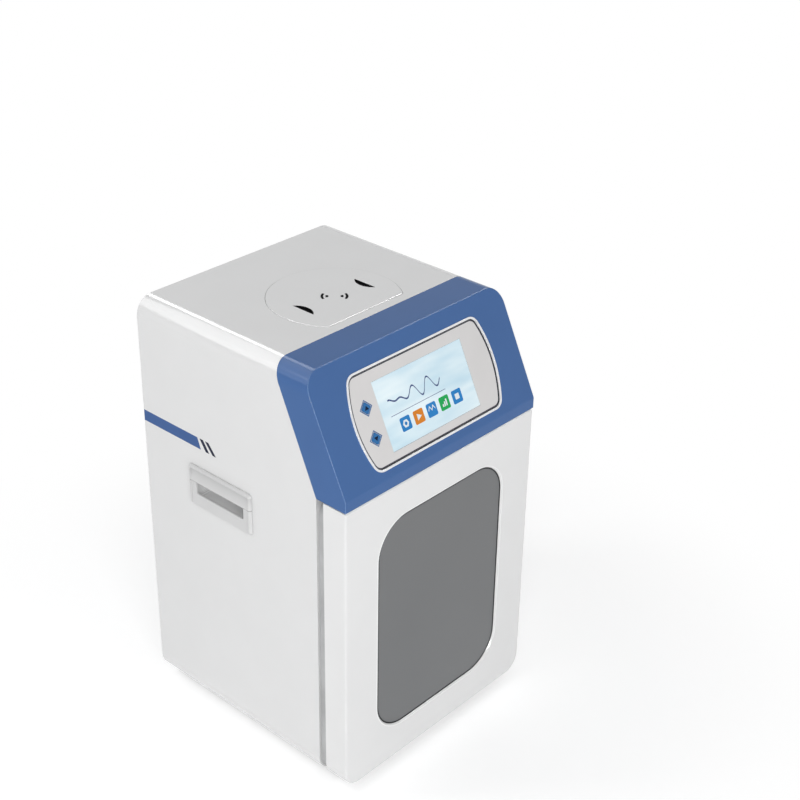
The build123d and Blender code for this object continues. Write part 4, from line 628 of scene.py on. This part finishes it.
glass = on_slope(0, screen_middle, glass_face)
picture = [rounded(picture_width, picture_height, 0.4)]
flat_piece("screen_picture", picture, picture_thickness, 0.0, glass, display, "cabinet")
tile_place = on_slope(0, screen_middle, glass_face - picture_thickness)
mark_place = on_slope(0, screen_middle, glass_face - picture_thickness - print_thickness)
tile_blue = finish("tile_blue", (0.03, 0.23, 0.58), 0.2, mottle=0.04, grain=0.0, sheen=0.1)
tile_orange = finish("tile_orange", (0.74, 0.24, 0.03), 0.2, mottle=0.04, grain=0.0, sheen=0.1)
tile_green = finish("tile_green", (0.02, 0.40, 0.10), 0.2, mottle=0.04, grain=0.0, sheen=0.1)
mark_white = finish("mark_white", (0.80, 0.86, 0.9), 0.2, mottle=0.01, grain=0.0)
tiles = [
    ("dial", -45.5, tile_blue),
    ("start", -23, tile_orange),
    ("wave", -0.5, tile_blue),
    ("bars", 22, tile_green),
    ("stop", 44.5, tile_blue),
]
wave_foot = [(-7, -1.5), (-3.5, 4.2), (0, -1.8), (3.5, 4.2), (7, -1.5)]
wave_top = [(7, 1), (3.5, 6.7), (0, 0.7), (-3.5, 6.7), (-7, 1)]
tile_marks = {
    "dial": [rings(6, 6.2), rings(24, 2.6)],
    "start": [[(-3.6, -5), (5.6, 0), (-3.6, 5)]],
    "wave": [wave_foot + wave_top],
    "bars": [
        [(-5, -5), (-2.4, -5), (-2.4, -1), (-5, -1)],
        [(-1.3, -5), (1.3, -5), (1.3, 2), (-1.3, 2)],
        [(2.4, -5), (5, -5), (5, 5), (2.4, 5)],
    ],
    "stop": [rounded(8.4, 8.4, 0.8)],
}
screen_ink = finish("screen_ink", (0.03, 0.06, 0.20), 0.2, mottle=0.03, grain=0.0)
trace_middle = 12
trace_swing = 9
trace_width = 2
trace_x = [-62 + 1.5 * k for k in range(60)]
trace = [(x, trace_middle + trace_swing * sin(x / 4.2) * cos(x / 30)) for x in trace_x]
trace_band = trace + [(x, y - trace_width) for x, y in reversed(trace)]
printed("screen_trace", [trace_band], tile_place, screen_ink)
axis_band = [(-64, -4.6), (30, -4.6), (30, -4), (-64, -4)]
printed("screen_axis", [axis_band], tile_place, screen_ink)
tile_size = 16.5
tile_row = -19
mark_scale = 0.82
for name, x, colour in tiles:
    printed(f"tile_{name}", [rounded(tile_size, tile_size, 2, x, tile_row)], tile_place, colour)
    marks = []
    for mark in tile_marks[name]:
        marks.append([(mark_scale * u + x, mark_scale * v + tile_row) for u, v in mark])
    printed(f"tile_mark_{name}", marks, mark_place, mark_white)


# Keys. Two blue diamond buttons that raise and lower the stage, each with a printed blue rim
# round it and a small dark triangle on its cap.
key_blue = finish("key_blue", (0.032, 0.16, 0.40), 0.38, mottle=0.03, grain=0.04, edge=0.0003, sheen=0.2)
border_blue = finish("border_blue", (0.02, 0.12, 0.32), 0.3, mottle=0.02, grain=0.01, sheen=0.1)
key_ink = finish("key_ink", (0.005, 0.012, 0.035), 0.4, mottle=0.03, grain=0.02, sheen=0.1)
dress(key_blue, "raise_key", "lower_key")
key_column = -95.8
cap_proud = 0.2
border_depth = 0.8
border_sizes = (10.1, 8.7)
border_thickness = 0.1
for name, s, way in (("raise_key", 85.2, 1), ("lower_key", 48.7, -1)):
    cap = on_slope(key_column, s, -cap_proud)
    arrow = [(-3.4, -2 * way), (3.4, -2 * way), (0, 3 * way)]
    flat_piece(name + "_arrow", [arrow], print_thickness, 0.0, cap, key_ink, name)
    border = on_slope(key_column, s, border_depth)
    edges = [[(-size, 0), (0, -size), (size, 0), (0, size)] for size in border_sizes]
    rim_name = name + "_border"
    flat_piece(rim_name, edges, border_thickness, 0.0, border, border_blue, "cabinet")


# Control board. A green board on four posts from the display, with a switch behind each key.
# Solder mask covers its copper tracks, which show faintly.
def printed_board(name, colour):
    """A finish of solder mask over faint copper tracks."""
    material = finish(name, colour, 0.35, mottle=0.1, grain=0.02)
    tree = material.node_tree
    place = tree.nodes.new("ShaderNodeTexCoord")
    tracks = tree.nodes.new("ShaderNodeTexBrick")
    tracks.inputs["Color1"].default_value = (*colour, 1)
    tracks.inputs["Color2"].default_value = (*[part * 1.35 for part in colour], 1)
    tracks.inputs["Mortar"].default_value = (*[part * 2.2 for part in colour], 1)
    tracks.inputs["Scale"].default_value = 160
    tracks.inputs["Mortar Size"].default_value = 0.03
    tree.links.new(place.outputs["Object"], tracks.inputs["Vector"])
    tree.links.new(tracks.outputs["Color"], tree.nodes["Principled BSDF"].inputs["Base Color"])
    return material


board_green = printed_board("board_green", (0.02, 0.11, 0.055))
part_black = finish("part_black", (0.035, 0.035, 0.038), 0.4, mottle=0.1, grain=0.05)
dress(board_green, "control_board", "generator_board")
dress(part_black, "key_switches", "board_parts")


# Side handles. Light grey mouldings pressed into the wrap: a raised plate with a bevelled
# edge, a wide finger slot and a closed, ribbed cup behind it. Painted shade marks the steps of
# the plate as a fine dark line and deepens towards the upper bevel, where a painted highlight
# runs as a light line.
handle_foot = 0.3189
handle_top = 0.3754
cup_face = 0.158
plate_face = 0.166
# Painted shade and highlight, by height from the plate's foot at 0 to its top at 1.
handle_painted_greys = [
    (0, 0.98),
    (0.595, 0.98),
    (0.603, 0.62),
    (0.622, 0.62),
    (0.63, 1.0),
    (0.8, 0.9),
    (0.915, 0.8),
    (0.93, 1.0),
    (1, 0.86),
]
handle_grey = finish("handle_grey", (0.68, 0.68, 0.68), 0.4, mottle=0.015, grain=0.06, edge=0.0005)
handle_tree = handle_grey.node_tree
handle_place = handle_tree.nodes.new("ShaderNodeTexCoord").outputs["Object"]
handle_axes = handle_tree.nodes.new("ShaderNodeSeparateXYZ")
handle_tree.links.new(handle_place, handle_axes.inputs[0])
handle_rise = share_between(handle_tree, handle_axes.outputs["Z"], handle_foot, handle_top)
handle_painted_stops = [(position, (grey, grey, grey)) for position, grey in handle_painted_greys]
handle_painted_shade = ramp(handle_tree, handle_rise, handle_painted_stops).outputs["Color"]
handle_tint = handle_tree.nodes["tint"].outputs["Color"]
handle_shaded_plate = mixed(handle_tree, 1, handle_tint, handle_painted_shade, way="MULTIPLY")
handle_reach = handle_tree.nodes.new("ShaderNodeMath")
handle_reach.operation = "ABSOLUTE"
handle_tree.links.new(handle_axes.outputs["X"], handle_reach.inputs[0])
handle_depth = share_between(handle_tree, handle_reach.outputs[0], cup_face, plate_face)
ribs = handle_tree.nodes.new("ShaderNodeTexWave")
ribs.bands_direction = "Z"
ribs.inputs["Scale"].default_value = 160
handle_tree.links.new(handle_place, ribs.inputs["Vector"])
rib_stops = [(0, (0.7, 0.7, 0.7)), (1, (0.95, 0.95, 0.95))]
rib_shade = ramp(handle_tree, ribs.outputs["Fac"], rib_stops).outputs["Color"]
handle_colour = mixed(handle_tree, handle_depth, rib_shade, handle_shaded_plate)
handle_tree.links.new(handle_colour, handle_tree.nodes["Principled BSDF"].inputs["Base Color"])
dress(handle_grey, "left_handle", "right_handle")


# Door. A glossy white shell, moulded with a small radius all round, filled with a sound core
# and closed by a white back panel. The seal sits in a groove round the back.
door_white = finish("door_white", (0.82, 0.82, 0.82), 0.1, mottle=0.006, grain=0.008, edge=0.0008)
dress(door_white, "door_shell", "door_back_panel")
core_grey = finish("core_grey", (0.06, 0.06, 0.065), 0.95, mottle=0.3, grain=0.5, grain_scale=350)
dress(core_grey, "door_core")
seal_grey = finish("seal_grey", (0.50, 0.505, 0.51), 0.7, mottle=0.1, grain=0.15, grain_scale=600)
dress(seal_grey, "door_seal")
dress(gasket_and_shade_black, "window_gasket")
dress(steel_plate, "strike_plate")


# Window. A smoked acrylic pane, 4 mm thick, held by its gasket. It reads as an even grey, and
# the chamber shows only faintly through it.
pane_tint = bpy.data.materials.new("pane_tint")
pane_tint.use_nodes = True
pane_tree = pane_tint.node_tree
pane_face = pane_tree.nodes["Principled BSDF"]
pane_face.inputs["Roughness"].default_value = 0.08
pane_face.inputs["Alpha"].default_value = 0.86
pane_face.inputs["IOR"].default_value = 1.49
pane_place = pane_tree.nodes.new("ShaderNodeTexCoord").outputs["Object"]
pane_greys = [(0, (0.17, 0.175, 0.18)), (1, (0.20, 0.205, 0.21))]
pane_shade = ramp(pane_tree, noise(pane_tree, pane_place, 5, 2), pane_greys)
pane_tree.links.new(pane_shade.outputs["Color"], pane_face.inputs["Base Color"])
dress(pane_tint, "window_pane")


# Window bead and lip. A thin white bead stands proud round the opening on the door's face as a
# painted highlight along the opening's edge, and the gasket's soft lip lies on the pane's rim.
bead_highlight_white = finish("bead_highlight_white", (0.95, 0.95, 0.95), 0.25, mottle=0.005, grain=0.005)
lip_black = finish("lip_black", (0.03, 0.03, 0.032), 0.6, mottle=0.1, grain=0.1, sheen=0.1)
window_middle = 204.8
window_width = 224
window_height = 310.2
window_corner = 48
bead_height = 0.35
bead_rounding = 0.12
bead_edges = (3.1, 1.6)
lip_depth = 1.85
lip_thickness = 0.2
lip_edges = (-0.1, -1.85)


def window_line(out):
    """The window opening's outline, moved outward."""
    width = window_width + 2 * out
    height = window_height + 2 * out
    return rounded(width, height, window_corner + out, steps=16)


bead_place = facing(spot(0, 0, window_middle), (1, 0, 0), (0, 0, 1))
highlight_bead = [window_line(out) for out in bead_edges]
flat_piece("window_highlight_bead", highlight_bead, bead_height, bead_rounding, bead_place, bead_highlight_white, "door")
lip_place = facing(spot(0, lip_depth, window_middle), (1, 0, 0), (0, 0, 1))
lip = [window_line(out) for out in lip_edges]
flat_piece("window_lip", lip, lip_thickness, 0.0, lip_place, lip_black, "door")


# Hinges and catch. Two butt hinges at the right, each leaf held by two screws, and a magnet
# strip in a channel at the left.
pin_chrome = finish("pin_chrome", (0.72, 0.73, 0.74), 0.16, metallic=1.0, mottle=0.02, grain=0.01)
magnet_dark = finish("magnet_dark", (0.05, 0.05, 0.055), 0.6, mottle=0.15, grain=0.15, grain_scale=500)
dress(steel_plate, "hinge_cabinet_leaves", "hinge_door_leaves")
dress(pin_chrome, "hinge_pins")
dress(magnet_dark, "catch_magnet")
leaf_column = 148
cabinet_leaf = 44
door_leaf = 38
leaf_screw_rise = 16
for low, height in (("lower", 75), ("upper", 330.2)):
    for k, side in enumerate((-1, 1)):
        screw_height = height + side * leaf_screw_rise
        in_frame = spot(leaf_column, cabinet_leaf, screw_height)
        in_door = spot(leaf_column, door_leaf, screw_height)
        screw(f"{low}_frame_screw_{k}", in_frame, (0, -1, 0), 2.6, "cabinet")
        screw(f"{low}_door_screw_{k}", in_door, (0, 1, 0), 2.6, "door")


# Chamber lining. Perforated stainless sheets over dark open-cell foam, with a plain stainless
# floor. The holes are 3 mm across in staggered rows.
def relief(tree, height, strength, distance):
    """Presses a pattern into a finish, beneath its own grain."""
    dent = tree.nodes.new("ShaderNodeBump")
    dent.inputs["Strength"].default_value = strength
    dent.inputs["Distance"].default_value = distance
    tree.links.new(height, dent.inputs["Height"])
    tree.links.new(tree.nodes["grain"].outputs["Normal"], dent.inputs["Normal"])
    tree.links.new(dent.outputs["Normal"], tree.nodes["Principled BSDF"].inputs["Normal"])


def perforated(name, colour, pitch, hole):
    """Brushed sheet with a staggered pattern of round holes, dark where a hole is."""
    material = finish(name, colour, 0.38, metallic=1.0, mottle=0.05, grain=0.03)
    tree = material.node_tree
    surface = tree.nodes["Principled BSDF"]
    place = tree.nodes.new("ShaderNodeTexCoord")
    apart = tree.nodes.new("ShaderNodeSeparateXYZ")
    tree.links.new(place.outputs["Object"], apart.inputs[0])
    sideways = tree.nodes.new("ShaderNodeMath")
    sideways.operation = "ADD"
    tree.links.new(apart.outputs["X"], sideways.inputs[0])
    tree.links.new(apart.outputs["Y"], sideways.inputs[1])
    flat = tree.nodes.new("ShaderNodeCombineXYZ")
    tree.links.new(sideways.outputs[0], flat.inputs["X"])
    tree.links.new(apart.outputs["Z"], flat.inputs["Y"])
    staggered = tree.nodes.new("ShaderNodeMapping")
    staggered.inputs["Rotation"].default_value = (0, 0, radians(45))
    tree.links.new(flat.outputs[0], staggered.inputs["Vector"])
    cell = tree.nodes.new("ShaderNodeVectorMath")
    cell.operation = "WRAP"
    cell.inputs[1].default_value = (pitch / 2, pitch / 2, pitch / 2)
    cell.inputs[2].default_value = (-pitch / 2, -pitch / 2, -pitch / 2)
    tree.links.new(staggered.outputs["Vector"], cell.inputs[0])
    reach = tree.nodes.new("ShaderNodeVectorMath")
    reach.operation = "LENGTH"
    tree.links.new(cell.outputs["Vector"], reach.inputs[0])
    steel = share_between(tree, reach.outputs["Value"], hole * 0.46, hole * 0.54)
    punched = mixed(tree, steel, (0.008, 0.008, 0.009, 1), tree.nodes["tint"].outputs["Color"])
    tree.links.new(punched, surface.inputs["Base Color"])
    tree.links.new(steel, surface.inputs["Metallic"])
    relief(tree, steel, 0.8, 0.001)
    return material


liner_steel = perforated("liner_steel", (0.50, 0.51, 0.52), 0.005, 0.003)
floor_steel = finish("floor_steel", (0.55, 0.56, 0.57), 0.34, metallic=1.0, mottle=0.04, grain=0.04)
foam_dark = finish("foam_dark", (0.045, 0.045, 0.05), 0.98, mottle=0.4, grain=0.9, grain_scale=260)
dress(liner_steel, "liner_sheets")
dress(floor_steel, "chamber_floor")
dress(foam_dark, "sound_foam")
rear_sheet = 271.9
side_sheet = 135
rear_screws = [(x, z) for z in (60, 200, 345) for x in (-122, 122)]
side_screws = [(y, z) for z in (60, 345) for y in (62, 258)]
for k, (x, z) in enumerate(rear_screws):
    screw(f"rear_sheet_screw_{k}", spot(x, rear_sheet, z), (0, -1, 0), 3, "cabinet")
for k, (y, z) in enumerate(side_screws):
    screw(f"left_sheet_screw_{k}", spot(-side_sheet, y, z), (1, 0, 0), 3, "cabinet")
    screw(f"right_sheet_screw_{k}", spot(side_sheet, y, z), (-1, 0, 0), 3, "cabinet")


# Chamber lamp and temperature probe. A diffuser bar in the ceiling, and a thin stainless
# sheath in a holder beside the horn.
lamp_white = finish("lamp_white", (0.84, 0.85, 0.84), 0.4, mottle=0.01, grain=0.03)
dress(lamp_white, "chamber_lamp")
dress(floor_steel, "temperature_probe")


# Transducer. Ceramic rings clamped between a steel back mass and an aluminium front mass, all
# under a turned aluminium can, with a stepped titanium horn and a screwed-in titanium probe.
turned_aluminium = finish(
    "turned_aluminium", (0.68, 0.69, 0.70), 0.3, metallic=1.0, mottle=0.03, grain=0.04
)
titanium = finish("titanium", (0.46, 0.44, 0.42), 0.24, metallic=1.0, mottle=0.04, grain=0.03)
ceramic = finish("ceramic", (0.36, 0.31, 0.23), 0.55, mottle=0.08, grain=0.1)
dress(turned_aluminium, "transducer_housing", "front_mass")
dress(steel_plate, "back_mass")
dress(ceramic, "piezo_discs")
dress(titanium, "horn", "titanium_probe")


# Sample stage and lift. A stainless platform on an aluminium carriage, which a brass nut on a
# lead screw carries up and down two chromed rods. A stepper motor turns the screw.
nut_brass = finish("nut_brass", (0.60, 0.42, 0.17), 0.28, metallic=1.0, mottle=0.05, grain=0.04)
motor_black = finish("motor_black", (0.04, 0.04, 0.043), 0.45, metallic=0.3, mottle=0.1, grain=0.06)
dress(floor_steel, "stage_platform")
dress(turned_aluminium, "stage_carriage", "lift_end_blocks", "shaft_coupling")
dress(nut_brass, "lift_nut")
dress(pin_chrome, "guide_rods")
thread_steel = finish("thread_steel", (0.62, 0.62, 0.62), 0.25, metallic=1.0, mottle=0.04, grain=0.02)
thread_tree = thread_steel.node_tree
thread_place = thread_tree.nodes.new("ShaderNodeTexCoord")
thread_wave = thread_tree.nodes.new("ShaderNodeTexWave")
thread_wave.bands_direction = "Z"
thread_wave.inputs["Scale"].default_value = 157
thread_tree.links.new(thread_place.outputs["Object"], thread_wave.inputs["Vector"])
relief(thread_tree, thread_wave.outputs["Fac"], 1, 0.0008)
dress(thread_steel, "lead_screw")
dress(motor_black, "lift_motor")
motor_axis = 255.95
motor_face = 420
motor_screw_reach = 15.5
for k, (x, y) in enumerate(four_corners):
    point = spot(x * motor_screw_reach, motor_axis + y * motor_screw_reach, motor_face)
    screw(f"motor_screw_{k}", point, (0, 0, 1), 2.4, "cabinet")


# Power electronics. The generator board with its finned heat sink and large parts lies on the
# deck, and the closed power supply stands in the rear bay.
sink_aluminium = finish("sink_aluminium", (0.40, 0.41, 0.42), 0.45, metallic=1.0, mottle=0.05, grain=0.06)
supply_case = perforated("supply_case", (0.60, 0.61, 0.62), 0.009, 0.005)
dress(sink_aluminium, "heat_sink")
dress(supply_case, "power_supply")


# Rear fittings. A black 80 mm fan behind a chromed wire guard and a mains inlet, both screwed
# to the recessed rear panel, and a rocker switch beside the inlet with its two marks.
fan_black = finish("fan_black", (0.022, 0.022, 0.024), 0.5, mottle=0.1, grain=0.08)
dress(fan_black, "fan_frame", "fan_rotor", "power_inlet", "switch_body", "power_rocker")
dress(pin_chrome, "fan_guard")
rear_face = 339.9
flange_face = 341.9
fan_x = 60
fan_z = 470
fan_screw_reach = 35.75
for k, (x, z) in enumerate(four_corners):
    point = spot(fan_x + x * fan_screw_reach, rear_face, fan_z + z * fan_screw_reach)
    screw(f"fan_screw_{k}", point, (0, 1, 0), 3.6, "cabinet")
mains_height = 70
for k, x in enumerate((88, 122)):
    screw(f"inlet_screw_{k}", spot(x, flange_face, mains_height), (0, 1, 0), 2.6, "cabinet")
switch_x = 55
switch_face = facing(spot(switch_x, flange_face, mains_height), (-1, 0, 0), (0, 0, 1))


def switch_mark(name, outlines):
    """A white mark printed on the switch."""
    flat_piece(
        name, outlines, print_thickness, 0.0, switch_face, mark_white, "cabinet"
    )


on_mark = [(-0.6, 10.6), (0.6, 10.6), (0.6, 14.4), (-0.6, 14.4)]
switch_mark("switch_on_mark", [on_mark])
off_height = -13.9
off_radii = (1.7, 1.1)
off_mark = [[(x, z + off_height) for x, z in rings(24, radius)] for radius in off_radii]
switch_mark("switch_off_mark", off_mark)
panel_screws = [(side * 155, z) for side in (-1, 1) for z in (60, 278, 500)]
panel_screws += [(side * 60, z) for side in (-1, 1) for z in (12, 545)]
for k, (x, z) in enumerate(panel_screws):
    screw(f"rear_screw_{k}", spot(x, rear_face, z), (0, 1, 0), 3.4, "cabinet")
